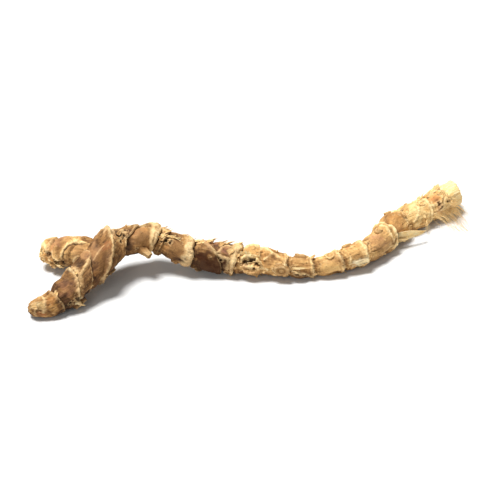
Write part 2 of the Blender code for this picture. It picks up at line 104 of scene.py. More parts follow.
# The main stem. A station is x, y, z and radius. A ring is distance along the stem, how far its leading
# side is ahead, which side leads (degrees, 0 up, 90 towards the camera), rise of its lip, swell of the
# stretch before it, width of its cream band, how strong the band is, and height of the folds beside it.
stem = {
    "stations": (
        (-55.6, -3.6, 2.1, 2.3), (-52, -2.8, 2.6, 2.9), (-48.4, -0.8, 3.8, 3.4), (-45, 2.6, 5.6, 3.7),
        (-41.8, 6.8, 7.2, 4.1), (-38.9, 11.1, 8.5, 4.3), (-36.3, 15.2, 9.3, 4.3), (-32.9, 17.8, 9.6, 4),
        (-28.6, 19.6, 9.3, 3.8), (-24.2, 20.1, 8.5, 3.7), (-20.2, 19, 7.3, 3.4), (-15.7, 17.4, 6.1, 3.4),
        (-11, 17, 5.1, 3.7), (-5.5, 17, 4.4, 3.7), (0, 16.6, 4, 3.6), (4.5, 16, 3.8, 3.5),
        (9.3, 15.5, 3.4, 3.1), (14.8, 15, 2.6, 2.75), (20.3, 15.5, 2.7, 2.75), (25.1, 16.9, 3.2, 3),
        (29.7, 19.1, 3.7, 3.15), (34.4, 22.4, 3.8, 3.2), (38.6, 27.6, 3.9, 3.4), (42.2, 33.6, 3.8, 3.6),
        (46.6, 38.8, 3.5, 3.6), (51.8, 43.1, 3.5, 3.5), (57, 47.7, 4.2, 4.1), (62, 51.2, 5, 4.4),
    ),
    "rings": (
        (7, 0.4, 90, 0.2, 0.03, 0.9, 0.5, 0.06), (12.9, 2.4, -40, 0.45, 0.04, 1, 1, 0.03),
        (18.6, 3.6, -45, 0.1, 0.03, 0.6, 0.9, 0.03), (25, 5.6, -35, 0.7, 0.05, 1.4, 1, 0.03),
        (33.6, 3.6, -35, 0.3, 0.05, 1, 0.85, 0.05), (41.9, 0.9, 10, 0.45, 0.1, 2.6, 1, 0.08),
        (44.4, 0.6, 0, 0.2, 0, 0.4, 0.4, 0.04), (52.6, 0.9, 80, 0.45, 0.1, 2.8, 1, 0.08),
        (59.7, 1.7, 145, 0.25, 0.03, 0.5, 0.5, 0.03), (65.4, 1.1, -35, 0.45, 0.03, 3, 0.9, 0.09),
        (71.6, 0.5, 100, 0.1, 0.03, 0.5, 0.3, 0.05), (79.2, 0.6, 145, 0.3, 0.04, 1.3, 0.6, 0.12),
        (85.9, 0.4, 60, 0.3, 0.04, 1.2, 0.8, 0.14), (94.1, 0.2, 145, 0.35, 0.05, 1.6, 0.7, 0.16),
        (100.9, 0.3, 0, 0.4, 0.05, 1.8, 0.9, 0.14), (112, 0.9, 30, 0.55, 0.04, 1.5, 1, 0.12),
        (120.6, 0.8, -30, 0.3, 0.09, 1.4, 0.7, 0.12), (131.2, 1, 10, 0.45, 0.07, 1.7, 0.9, 0.1),
        (138, 0.5, 30, 0.25, 0.03, 1, 0.6, 0.1),
    ),
    # where a ring's edge leaves its even slant: turn and how far ahead, for the ring of that number
    "corners": {
        3: ((-60, 0), (-18, 0.4), (28, -0.8), (60, -0.2), (110, 0)),
        4: ((-60, 0), (0, 0.2), (24, 0.8), (60, 0), (98, -1.3), (140, 0)),
        5: ((-60, 0), (-2, 0.6), (36, 0.1), (52, -1.1), (84, -0.7), (130, 0)),
    },
    # places where the skin is smooth: distance, turn, half length, half width and how smooth
    "calm": (
        (13.2, 60, 2.2, 1.8, 0.5), (22.2, 46, 3.2, 3.6, 0.8), (38.4, 42, 3.2, 3.6, 0.85),
        (49.6, 60, 2.6, 2.6, 0.5), (58.6, 100, 4.2, 3.6, 0.6), (90, 60, 2.6, 3, 0.5),
        (116.6, 30, 2.6, 3, 0.4),
    ),
    # the far end: how far its leading side is ahead, which side leads, and how far it is cut back
    "cut": (1.5, 235),
    "cutBack": -0.6,
    "phase": 0,  # keeps the noise on the two limbs apart
    "columns": 140,
    "rowGap": 0.222,
    # ends as distance past the end and share of the radius, from the middle outwards
    "startCap": (
        (-0.95, 0), (-0.94, 0.22), (-0.86, 0.44), (-0.68, 0.64), (-0.42, 0.81), (-0.15, 0.94), (0, 1),
    ),
    "endCap": ((0.05, 0), (0.08, 0.35), (0.15, 0.6), (0.22, 0.82), (0.2, 0.92), (0, 1)),
    "capRows": 14,
    # how golden the bark is along the stem, from 0, dark brown, to 1, cream
    "tones": (
        (0, 0.52), (5, 0.5), (9, 0.31), (14, 0.32), (20, 0.32), (27, 0.35), (33, 0.4), (38, 0.44),
        (44, 0.5), (48, 0.44), (53, 0.44), (55, 0.27), (62, 0.32), (66, 0.62), (70, 0.73), (76, 0.68),
        (80, 0.58), (84, 0.6), (90, 0.88), (94, 0.66), (98, 0.78), (104, 0.7), (111, 0.76), (116, 0.66),
        (122, 0.88), (130, 0.94), (134, 0.84), (140, 0.94),
    ),
    # how strongly the skin is streaked along the stem
    "streaks": (
        (0, 0.8), (8, 0.5), (20, 0.3), (42, 0.35), (50, 0.8), (66, 1), (90, 0.6), (112, 0.5), (130, 1),
    ),
    # the skin is gone from here to the cut end: middle, how far the leading side is ahead, and which leads
    "peeledFrom": (140.5, 1.6, 216),
    # swellings of the limb itself: distance, turn, half length, half width and height
    "bumps": (
        (1.2, 60, 1.4, 1.6, 0.35), (4.8, 110, 1.6, 1.4, 0.4), (8.6, -30, 2.2, 2.8, 0.55),
        (10.6, 130, 1.6, 1.6, 0.6), (30.4, -14, 1.6, 3, 0.55), (36.8, 24, 2.6, 2.4, 0.3),
        (50, -34, 1.8, 1.6, 0.35), (58.6, -30, 2.6, 1.8, 0.4), (61.6, 30, 1.8, 1.6, 0.3),
        (71, -22, 3.6, 2.6, 0.8), (69.6, 100, 2.4, 1.8, 0.35), (77.8, 82, 2.4, 2, 0.4),
        (99.2, 92, 2.6, 1.6, 0.4), (117.4, -16, 3, 3.2, 0.55), (126, 10, 3.2, 3, 0.3),
        (134.8, 30, 2.4, 3, 0.25),
    ),
    # raised pale lines: points as distance and turn, then width and height
    "veins": (
        (((16, -44), (15.2, -8), (14.3, 30), (12.6, 62), (11.3, 84)), 0.8, 0.3),
        (((13.6, 34), (15.8, 24), (18, 18), (20.2, 8)), 0.42, 0.26),
        (((20.2, 24), (22.4, 20), (24.8, 18)), 0.13, 0.05),
        (((30.9, -52), (30.4, -24), (29.7, -2)), 1.15, 0.55),
        (((30, -8), (28.8, 20), (27.4, 38), (24.8, 58), (21.4, 86)), 0.55, 0.36),
        (((31.8, -2), (32.8, 10), (32.2, 20), (33.4, 26)), 0.42, 0.3),
        (((31.6, 40), (32.4, 52), (31.4, 64)), 0.34, 0.24),
        (((40.2, -44), (40.9, -10), (40.7, 30), (40.2, 74)), 0.7, 0.2),
        (((54.6, -32), (55.2, -18), (57.2, 14), (59.2, 42), (61.2, 52), (63.4, 60)), 0.44, 0.5),
        (((59.4, 40), (60.8, 12), (62, -10), (64.2, 6)), 0.3, 0.32),
        (((56.6, 12), (58.4, 30), (60.4, 34)), 0.22, 0.26),
        (((64.4, -30), (64.8, 0), (64.2, 40), (63.8, 84)), 0.7, 0.26),
        (((66.6, 52), (67.6, 34), (68.8, 28), (70.2, 40), (71.2, 54), (72.2, 76)), 0.36, 0.42),
        (((68, 84), (70, 78), (72.4, 86), (74.2, 90)), 0.4, 0.36),
        (((67, -6), (69.4, -20), (72.6, -10), (75.4, 12), (77, 22)), 0.4, 0.45),
        (((79.6, 72), (81.4, 82), (83.6, 92), (85.6, 118)), 0.34, 0.4),
        (((98.2, 112), (97.6, 98), (99.4, 92), (100.8, 94)), 0.46, 0.34),
        (((110.5, -20), (110.8, 10), (110.2, 50), (110.4, 90)), 0.3, 0.2),
        (((111.9, -34), (112.5, 0), (112.7, 46), (112, 90), (109.9, 108)), 0.55, 0.42),
        (((95.9, 44), (95.5, 70), (95.3, 96)), 0.22, 0.12),
        (((3.4, -10), (3.8, 24), (3.2, 56), (2.6, 90)), 0.34, 0.2),
        (((0.2, 20), (0.8, 52), (0.4, 90), (0.9, 120)), 0.34, 0.18),
        (((75.6, 2), (74.2, 16), (73, 40), (72.7, 48)), 0.26, 0.22),
        (((122.6, 76), (124.6, 60), (126.6, 40), (127.4, 18), (126.4, 0)), 0.34, 0.2),
        (((131.9, -14), (132, 20), (131.7, 54), (130.4, 100)), 0.5, 0.3),
        (((138.6, 66), (139.8, 40), (139.4, 10), (140.4, -20)), 0.4, 0.26),
    ),
    # leaf-base edges: a step up on one side of a line, with a crack at its foot
    "steps": (
        (((97, 112), (98.4, 100), (100.6, 98)), 1, 0.3, 1.8),
        (((104, 118), (107.4, 106), (110.4, 96)), -1, 0.22, 2),
        (((133, 84), (135.4, 70), (136.2, 48), (138, 40)), 1, 0.32, 1.8),
        (((134, -30), (135.2, -8), (137.4, -2)), -1, 0.28, 1.8),
    ),
    # holes: distance, turn, radius and depth
    "pits": (
        (31.2, 8, 0.55, 0.62), (31, 24, 0.62, 0.7), (32.4, 34, 0.42, 0.5), (30.2, 50, 0.36, 0.4),
        (33.2, 14, 0.34, 0.36), (43.9, 27, 0.62, 0.85), (45.2, 42, 0.55, 0.8), (46.7, 44, 0.42, 0.6),
        (44.2, 56, 0.34, 0.45), (45.4, 28, 0.5, 0.35), (46.8, 34, 0.4, 0.3), (67.6, 66, 0.8, 0.95),
        (69.4, 56, 0.95, 1.05), (71, 66, 0.6, 0.75), (70.4, 88, 0.5, 0.5), (80.2, 66, 0.42, 0.55),
        (81.8, 98, 0.46, 0.5), (83.6, 106, 0.5, 0.5), (134.6, 56, 0.55, 0.6), (136.2, 20, 0.4, 0.4),
        (137.4, 66, 0.5, 0.45), (129.2, -14, 0.42, 0.35), (130.6, 2, 0.5, 0.35), (2.2, 74, 0.45, 0.18),
        (4.4, 52, 0.26, 0.2), (4.9, 74, 0.24, 0.18), (102.4, 20, 0.35, 0.3), (85, -10, 0.3, 0.25),
        (10.7, 102, 0.66, 0.7), (8.7, 98, 0.34, 0.3), (35.5, 96, 0.36, 0.3), (48.6, 6, 0.4, 0.4),
        (56.4, -8, 0.46, 0.5), (60.8, 66, 0.44, 0.4),
    ),
    # stains: distance, turn, half length, half width, colour and strength
    "stains": (
        (10, 34, 2.6, 3, "rose", 0.18), (2.4, 40, 1.2, 1.6, "straw", 0.5),
        (5, 50, 1.6, 2.4, "ochre", 0.6), (4.6, 40, 1.4, 1.5, "rust", 0.24),
        (1, 30, 1.4, 1.6, "cream", 0.3), (14.8, -10, 0.9, 1.8, "cream", 0.6),
        (10.7, 122, 1.2, 0.9, "cream", 0.65), (52.2, 62, 1.2, 4, "cream", 0.45),
        (30.2, -18, 1, 1.8, "pith", 0.75), (58.6, 112, 5.6, 5, "plum", 1),
        (61.6, 82, 2.6, 2.4, "plum", 0.95), (55.8, 66, 2, 2.2, "plum", 0.8),
        (57.2, -6, 2.2, 2.2, "rose", 0.45), (61.8, 22, 2, 1.5, "rose", 0.45),
        (73, -10, 3, 2.4, "amber", 0.3), (69, 44, 1.6, 1.2, "cream", 0.55),
        (71.8, 92, 2.6, 1.4, "amber", 0.5), (68.4, 90, 1.7, 1.3, "umber", 0.5),
        (67.6, 82, 0.9, 0.8, "rust", 0.4), (77.8, 82, 2.2, 1.9, "cream", 0.6),
        # the two umber stains here darken the skin round the pale splinter: painted shadow
        (83, 116, 2.6, 1.2, "umber", 0.75), (82, 88, 2.8, 1.1, "umber", 0.6),
        (98.8, 94, 2.8, 1.5, "pith", 0.95), (97.4, -24, 1.5, 1.3, "rust", 0.6),
        (90.6, 30, 2.2, 1.8, "tan", 0.35), (104.6, 40, 3.2, 2.6, "tan", 0.55),
        (107.6, 70, 2.8, 2.2, "tan", 0.45), (106.4, 6, 2.2, 1.6, "rose", 0.3),
        (116.4, 20, 3.4, 2.6, "amber", 0.28), (118.6, -38, 1, 0.9, "pith", 0.8),
        (114.6, 60, 2, 2, "rust", 0.22), (125.6, 34, 3, 2.6, "straw", 0.45),
        (135, -2, 2.2, 2.6, "amber", 0.6), (136.8, 50, 1.8, 2, "ochre", 0.6),
        (134.2, 30, 1.6, 1.5, "rust", 0.5), (138.6, -16, 1.6, 1.8, "rose", 0.55),
        (134.4, 76, 1.6, 1.4, "rose", 0.45), (37, 40, 3.2, 3, "tan", 0.4),
        (48.2, 60, 3, 3.2, "umber", 0.35), (23.2, 66, 2.8, 3, "umber", 0.5),
        (21.8, -10, 3.6, 2.4, "tan", 0.65), (31.2, -12, 2.4, 2.6, "tan", 0.6),
        (38, -28, 3.4, 2.4, "straw", 0.4), (43.9, 96, 1.3, 2.4, "plum", 0.55),
        (18, 90, 3, 3, "umber", 0.35), (120, 30, 0.8, 0.8, "cream", 0.7),
        (118.9, 72, 0.7, 0.7, "cream", 0.6),
    ),
    "seed": 21,
    "randomPits": 120,
    "randomStains": 60,
}

# The side arm, from its torn tip to inside the stem
arm = {
    "stations": (
        (-54.8, 22.4, 3, 3.2), (-51.4, 20, 4.8, 3.6), (-46.5, 17, 6.6, 3.6), (-41.8, 14.2, 8.2, 3.6),
        (-38.3, 13.2, 8.8, 2.9),
    ),
    "rings": (
        (4.6, 0.6, 120, 0.25, 0.02, 1.2, 0.5, 0.08), (13.6, 3, -58, 0.12, 0.02, 0.3, 0.3, 0.03),
    ),
    "corners": {},
    "calm": ((13.5, 60, 3, 3, 0.4),),
    "cut": (0, 0),
    "cutBack": 0,
    "phase": 11,
    "columns": 132,
    "rowGap": 0.19,
    "startCap": ((1.7, 0), (1.5, 0.25), (1.2, 0.45), (0.5, 0.62), (-0.2, 0.76), (-0.34, 0.88), (0, 1)),
    "endCap": ((0.1, 0), (0.1, 0.5), (0, 1)),
    "capRows": 18,
    "tones": ((0, 0.76), (2.5, 0.72), (5, 0.68), (8, 0.62), (12, 0.66), (20, 0.6)),
    "streaks": ((0, 0.6), (8, 0.5), (12, 0.9)),
    "peeledFrom": (99, 0, 0),
    "bumps": (
        (1.4, -10, 1.8, 2.4, 0.45), (3, 96, 1.1, 1.3, 0.55), (5.8, 94, 1.1, 1.1, 0.4),
        (5.6, 126, 1.2, 1.2, 0.55), (2.2, 150, 1.3, 1.4, 0.6), (0.6, 74, 1, 1.2, 0.4),
        (12, -32, 5.5, 3, 0.38), (6.2, -34, 2.2, 2.6, 0.42), (7, 126, 2.8, 2.6, 0.7),
    ),
    "veins": (
        (((1, 20), (3, 40), (4.2, 70)), 0.4, 0.34),
        (((0.6, 80), (2.6, 92), (3, 120), (5.4, 132)), 0.4, 0.4),
        (((4.2, 96), (5.6, 110), (7.6, 118)), 0.34, 0.34),
        (((5.6, 140), (7, 134), (8.4, 142)), 0.4, 0.36),
        (((10.2, 150), (12.4, 110), (14, 84), (17, 70)), 0.3, 0.14),
        (((0.6, -40), (3.4, -30), (6.4, -34), (9.8, -30)), 0.34, 0.18),
    ),
    "steps": (
        (((8.6, 112), (9.2, 80), (9.8, 54), (12.8, 26), (15, 20), (17.8, 17)), -1, 0.32, 1.8),
        (((4.6, 60), (6.2, 92), (8.6, 108)), -1, 0.24, 1.2),
    ),
    "pits": (
        (4.4, 74, 0.85, 0.5), (4, 146, 0.6, 0.55), (6.6, 104, 0.7, 0.7), (8.4, 116, 0.6, 0.65),
        (7.6, 146, 0.7, 0.65), (2, 104, 0.7, 0.6), (1.4, 56, 0.45, 0.4), (5.6, 132, 0.36, 0.45),
    ),
    "stains": (
        (3.4, 92, 2.2, 2.4, "amber", 0.55), (0.6, -8, 1.8, 2.6, "cream", 0.4),
        (5, 60, 1.8, 1.6, "rust", 0.35), (6.5, 0, 3, 2.6, "rose", 0.25), (14, 50, 3, 2.6, "tan", 0.3),
    ),
    "seed": 5,
    "randomPits": 22,
    "randomStains": 10,
}
limbs = {"stem": stem, "arm": arm}

# Colours seen in daylight, as red, green and blue up to 255
seen = {
    "plum": (64, 32, 8),
    "umber": (96, 62, 38),
    "rust": (186, 104, 62),
    "rose": (190, 132, 104),
    "ochre": (198, 146, 78),
    "amber": (224, 156, 82),
    "tan": (190, 142, 96),
    "cream": (244, 226, 178),
    "pith": (250, 238, 200),
    "straw": (232, 206, 144),
}


def colour(name):
    # a named colour, or one given as three numbers, in Blender's linear values
    return tuple(((c / 255 + 0.055) / 1.055) ** 2.4 for c in seen.get(name, name)) + (1,)


def smoothStep(value):
    value = np.clip(value, 0, 1)
    return value * value * (3 - 2 * value)


def bell(distance, width):
    return np.exp(-((distance / width) ** 2))


def noiseOf(*place):
    # smooth noise at places given as three numbers or arrays
    places = np.stack(np.broadcast_arrays(*place), axis=-1)
    values = [noise.noise(p) for p in places.reshape(-1, 3).tolist()]
    return np.array(values).reshape(places.shape[:-1])


def noiseAt(points, size, longer, seed):
    # smooth noise on unrolled skin: lumps of that size, drawn out along the limb
    return noiseOf(*np.moveaxis(points / (size * longer, size, size) + seed, -1, 0))


def pattern(points, name):
    return noiseAt(points, *patterns[name])


def traceLimb(limb):
    # a smooth centre line through the stations, with its length and direction at each of its points
    points = np.array(limb["stations"])
    gaps = np.linalg.norm(np.diff(points[:, :3], axis=0), axis=1)
    along = np.concatenate(([0], np.cumsum(gaps)))
    slopes = np.gradient(points, along, axis=0)
    places = np.arange(0, along[-1], 0.2)
    first = np.clip(np.searchsorted(along, places, side="right") - 1, 0, len(gaps) - 1)
    gap = gaps[first][:, None]
    t = (places - along[first])[:, None] / gap
    limb["line"] = (
        (2 * t**3 - 3 * t**2 + 1) * points[first]
        + (t**3 - 2 * t**2 + t) * gap * slopes[first]
        + (3 * t**2 - 2 * t**3) * points[first + 1]
        + (t**3 - t**2) * gap * slopes[first + 1]
    )
    steps = np.linalg.norm(np.diff(limb["line"][:, :3], axis=0), axis=1)
    limb["along"] = np.concatenate(([0], np.cumsum(steps)))
    limb["length"] = limb["along"][-1]
    limb["forward"] = np.gradient(limb["line"][:, :3], limb["along"], axis=0)
    noRing = (0, 0, 0, 0, 0)
    end = limb["length"] - limb["cutBack"]
    limb["edges"] = [(0, 0, 0) + noRing, *limb["rings"], (end, *limb["cut"]) + noRing]
    limb["ringForm"] = np.array([edge[3:] for edge in limb["edges"]]).T


def limbFrame(limb, s):
    # centre, radius and the forward, up and side directions at distance s
    inside = np.clip(s, 0, limb["length"])
    *centre, radius = [np.interp(inside, limb["along"], values) for values in limb["line"].T]
    forward = np.stack([np.interp(inside, limb["along"], values) for values in limb["forward"].T], axis=-1)
    forward /= np.linalg.norm(forward, axis=-1, keepdims=True)
    centre = np.stack(centre, axis=-1) + forward * (s - inside)[..., None]
    side = np.cross(forward, (0, 0, 1))
    side /= np.linalg.norm(side, axis=-1, keepdims=True)
    return centre, radius, forward, np.cross(side, forward), side


def alongLimb(limb, key, s):
    # a value of the limb that changes along it, such as its tone
    return np.interp(s, *zip(*limb[key]))


def ringEdge(limb, number, turn):
    # distance of a ring's edge at each turn
    place, lean, leading, lip = limb["edges"][number][:4]
    ragged = 0
    if lip:
        for key, shift, size in (("raggedRing", 5.3, 1.6), ("fineRing", 3.1, 7.5)):
            wave = noiseOf(number * shift + limb["phase"], np.cos(turn) * size, np.sin(turn) * size)
            ragged = ragged + uneven[key] * wave
    edge = place + lean * np.cos(turn - math.radians(leading)) + ragged
    if number in limb["corners"]:
        turns, ahead = zip(*limb["corners"][number])
        edge = edge + np.interp(np.degrees(turn), turns, ahead, period=360)
    return edge


def stretchShare(t, lip, swell, radius):
    # share of the radius between two rings: a neck, a barrel, then the lip of the next ring
    edge = stretch["lipEdge"]
    neck = -stretch["neckDepth"] * (1 - smoothStep(t / stretch["neckShare"]))
    barrel = swell * np.sin(math.pi * np.minimum(t / edge, 1))
    rise = smoothStep((t - stretch["lipStart"]) / (stretch["lipFull"] - stretch["lipStart"]))
    fall = 1 - smoothStep((t - edge) / (1 - edge))
    return 1 + neck * fall + barrel + lip * rise * fall / radius - stretch["neckDepth"] * (1 - fall)


def awayOnSkin(turn, degrees):
    # signed distance round the limb from a turn given in degrees
    return np.angle(np.exp(1j * (turn - math.radians(degrees)))) * skinRadius


def spotGap(s, turn, place, where, halfLong, halfWide):
    # distance from the middle of an oval spot on the skin, 1 at its edge
    return np.hypot((s - place) / halfLong, awayOnSkin(turn, where) / halfWide)


def plainReach(limb, s, turn, number, t):
    # how far the skin is from the centre line before its fine relief
    radius = limbFrame(limb, s)[1]
    lips, swells = limb["ringForm"][:2]
    share = stretchShare(t, lips[number + 1], swells[number + 1], radius)
    oval = 1 + uneven["outOfRound"] * np.cos(2 * turn + 0.12 * s + limb["phase"])
    lumps = noiseOf(s / uneven["lumpSize"] + limb["phase"], np.cos(turn) * 0.9, np.sin(turn) * 0.9)
    reach = radius * oval * share + uneven["lumpHeight"] * lumps
    for *spot, height in limb["bumps"]:
        reach = reach + height * np.exp(-(spotGap(s, turn, *spot) ** 2.5))
    return reach


def outwardAt(turn, up, side):
    return np.cos(turn)[..., None] * up + np.sin(turn)[..., None] * side


def spotOnSkin(limb, s, turn):
    # a point on the plain skin with its outward and forward directions; turn in degrees
    s, turn = np.array([float(s)]), np.radians([float(turn)])
    edges = np.array([ringEdge(limb, n, turn) for n in range(len(limb["edges"]))])
    number = np.clip((s >= edges).sum(axis=0) - 1, 0, len(edges) - 2)
    low, high = edges[number[0]], edges[number[0] + 1]
    reach = plainReach(limb, s, turn, number, np.clip((s - low) / (high - low), 0, 1))
    centre, _, forward, up, side = limbFrame(limb, s)
    outward = outwardAt(turn, up, side)
    return (centre + reach[:, None] * outward)[0], outward[0], forward[0]


def headingOnSkin(forward, outward, degrees):
    # the direction of a heading on the skin, 0 forward, and the one across it
    course = math.radians(degrees)
    ahead = math.cos(course) * forward - math.sin(course) * np.cross(forward, outward)
    return ahead, np.cross(ahead, outward)


def lineDistance(points, s, turn):
    # distance to a drawn line on unrolled skin, which side of it, and how far along it from 0 to 1
    nearest = np.full(s.shape, 1e9)
    sideOf = np.zeros(s.shape)
    share = np.zeros(s.shape)
    for k, ((s0, a0), (s1, a1)) in enumerate(zip(points, points[1:])):
        run, rise = s1 - s0, math.radians(a1 - a0) * skinRadius
        away = awayOnSkin(turn, a0)
        t = np.clip(((s - s0) * run + away * rise) / (run * run + rise * rise), 0, 1)
        gap = np.hypot(s - s0 - t * run, away - t * rise)
        closer = gap < nearest
        nearest = np.where(closer, gap, nearest)
        sideOf = np.where(closer, np.sign(run * away - rise * (s - s0)), sideOf)
        share = np.where(closer, (k + t) / (len(points) - 1), share)
    return nearest, sideOf, share


def mark(skin, key, amount, where=...):
    # makes that layer of the skin at least as strong as the amount
    skin[key][where] = np.maximum(skin[key][where], amount)


def addRelief(limb, skin):
    # hollows, streaks, wrinkles and creases, fainter where the skin is calm
    s, turn, t, flat, height = (skin[key] for key in ("s", "turn", "t", "flat", "height"))
    layers = {}
    for k, (key, (_, size, longer)) in enumerate(relief.items()):
        layers[key] = noiseAt(flat + limb["phase"], size, longer, 7 * k)
    height -= relief["hollow"][0] * smoothStep((-layers["hollow"] - 0.02) / 0.45)
    height += relief["pucker"][0] * layers["pucker"]
    streaked = 0.45 + 0.55 * smoothStep(0.5 + 1.6 * pattern(flat, "streaked"))
    streaked = streaked * alongLimb(limb, "streaks", s)
    height += relief["streak"][0] * (0.7 - 2.6 * np.abs(layers["streak"])) * streaked
    height += relief["hairline"][0] * layers["hairline"]
    wrinkled = smoothStep(0.35 + 1.8 * pattern(flat, "wrinkled"))
    onBarrel = smoothStep(t / 0.2) * smoothStep((1 - t) / 0.15)
    wrinkles = (0.6 - 2.6 * np.abs(layers["wrinkle"])) * wrinkled * (0.4 + 0.6 * onBarrel)
    height += relief["wrinkle"][0] * wrinkles
    height += relief["grain"][0] * layers["grain"]
    skin["flake"] = relief["flake"][0] * (0.5 + layers["flake"])
    calm = skin["calm"]
    for *spot, amount in limb["calm"]:
        mark(skin, "calm", amount * np.exp(-(spotGap(s, turn, *spot) ** 4)))
    height *= 1 - calm
    for key in ("longCrease", "wideCrease"):
        mask = smoothStep(0.3 + 2.2 * pattern(flat, key + "Mask")) * (1 - calm)
        crease = bell(pattern(flat, key), creaseWidth) * mask
        height -= creaseDepth * crease
        # painted shade along each crease
        mark(skin, "gap", 0.55 * crease)


def addRings(limb, skin, toRing, fromRing):
    # cream bands with their flakes and folds before each ring, and the crack behind it, with painted shade in
    # the crack and just behind the lip
    number, flat, height = skin["number"], skin["flat"], skin["height"]
    lips, _, bands, strengths, folds = limb["ringForm"]
    before, behind = lips[number + 1] > 0, lips[number] > 0
    ringNoise = pattern(flat, "ring")
    width = bands[number + 1] * (1 + 0.55 * ringNoise) + 1e-3
    band = strengths[number + 1] * smoothStep(1.6 * (1 - toRing / width)) * before
    height += band * skin["flake"]
    foldNoise = 0.45 * pattern(flat, "fold")
    for distance, rise in ((toRing, folds[number + 1]), (fromRing, folds[number])):
        wave = np.cos(tau * (distance / foldGap + foldNoise))
        height += rise * wave * bell(distance, foldReach)
    lip = lips[number]
    width = crackWidth * (1 + 0.8 * ringNoise) * np.clip(lip / 0.4, 0.7, 1.3)
    opened = np.clip(lip / 0.45, 0.25, 1) * (0.55 + 0.45 * smoothStep(0.5 + ringNoise * 2))
    crack = bell(fromRing, width) * behind * opened
    height -= crackDepth * crack
    mark(skin, "rim", band)
    # painted shade in the crack and on the skin just behind the lip
    mark(skin, "gap", crack)
    mark(skin, "gap", 0.45 * bell(fromRing, 0.9) * behind * smoothStep(0.5 + ringNoise * 1.5))


def addLines(limb, skin):
    # veins with a dark line of painted shadow beside them, and leaf-base edges with a crack at their foot, a
    # painted highlight on the high side and painted shade in the crack
    s, turn, wobble = skin["s"], skin["turn"], skin["wobble"]
    for points, width, height in limb["veins"]:
        gap, _, share = lineDistance(points, s, turn)
        taper = np.sqrt(np.clip(np.minimum(share, 1 - share) * 6 + 0.25, 0, 1))
        wide = width * (1 + 0.9 * wobble) * taper
        line = bell(gap, wide)
        skin["height"] += height * line
        mark(skin, "rim", 0.95 * line)
        # painted shadow: a dark line beside the vein
        mark(skin, "gap", 0.35 * bell(gap - 1.7 * wide, 0.5 * wide))
    for points, sign, height, reach in limb["steps"]:
        gap, sideOf, share = lineDistance(points, s, turn)
        ends = smoothStep(np.minimum(share, 1 - share) * 5)
        distance = gap * sideOf * sign + 0.25 * wobble
        shelf = smoothStep(distance / 0.22 + 0.5) * np.clip(1 - distance / reach, 0, 1) ** 1.5
        crack = bell(distance + 0.16, 0.15)
        skin["height"] += ends * height * (shelf - 0.7 * crack)
        # painted highlight on the high side of the step and painted shade in the crack
        mark(skin, "rim", 0.9 * ends * bell(distance - 0.22, 0.25))
        mark(skin, "gap", ends * crack)


def addPits(limb, skin, rng):
    s, turn = skin["s"], skin["turn"]
    ragged = 1 + 0.7 * skin["wobble"] + 0.6 * pattern(skin["flat"], "jagged")
    pits = list(limb["pits"])
    for _ in range(limb["randomPits"]):
        radius = 0.09 + 0.2 * rng.random() ** 2
        place, where = rng.uniform(0.5, limb["length"]), rng.uniform(-180, 180)
        pits.append((place, where, radius, radius * rng.uniform(0.5, 1.1)))
    for place, where, radius, depth in pits:
        near = np.abs(s - place) < 3 * radius
        gap = np.hypot(s[near] - place, awayOnSkin(turn[near], where)) / radius * ragged[near]
        hole = np.exp(-(gap**4))
        edge = bell(gap - 1.25, 0.32)
        skin["height"][near] += depth * (0.22 * edge - hole)
        mark(skin, "rim", 0.75 * edge, near)
        # painted shade in the hole, darker the deeper it is
        mark(skin, "gap", hole * min(1, depth * 2.2), near)


def addStains(limb, skin, rng):
    # stains laid over one another: the last one is on top
    stains = []
    for _ in range(limb["randomStains"]):
        name = rng.choice(("rust", "umber", "tan", "amber", "umber", "ochre"))
        half = rng.uniform(0.5, 1.5)
        place, where = rng.uniform(0, limb["length"]), rng.uniform(-180, 180)
        stains.append((place, where, half * 1.4, half, name, rng.uniform(0.15, 0.4)))
    ragged = 0.7 * pattern(skin["flat"], "stainEdge") + 0.35 * skin["wobble"]
    look, cover = skin["stain"][..., :3], skin["stain"][..., 3:]
    for *spot, name, strength in (*stains, *limb["stains"]):
        gap = spotGap(skin["s"], skin["turn"], *spot)
        amount = (strength * smoothStep(1.6 * (1.15 - gap + ragged)))[..., None]
        keep = cover * (1 - amount)
        look[:] = (look * keep + np.array(colour(name)[:3]) * amount) / np.maximum(keep + amount, 1e-6)
        cover[:] = keep + amount


def addPeel(limb, skin, onCut):
    # the pale pith, bare on the cut face and round it, and on the arm's torn tip
    s, turn, flat, height = (skin[key] for key in ("s", "turn", "flat", "height"))
    place, slant, leads = limb["peeledFrom"]
    edge = place + slant * np.cos(turn - math.radians(leads))
    edge = edge + 0.9 * pattern(flat, "peel") + 0.5 * pattern(flat, "finePeel")
    peeled = np.where(onCut, 1, smoothStep((s - edge) / 0.18 + 0.5))
    height *= 1 - 0.4 * peeled
    height += 0.12 * bell(s - edge, 0.3) * ~onCut * (s < edge)
    # less painted shade on the bare pith
    skin["gap"] *= 1 - 0.7 * peeled
    skin["pith"] = peeled.copy()
    if limb is arm:
        mark(skin, "pith", tornPith * smoothStep((tornReach - s + 1.2 * pattern(flat, "ring")) / 1.6))
    # painted highlight where the skin is raised and painted shade where it is sunk
    mark(skin, "rim", 0.75 * smoothStep((height - 0.02) / 0.3))
    mark(skin, "gap", 0.8 * (1 - peeled) * smoothStep((-height - 0.16) / 0.35))
    height -= pithSunk * peeled


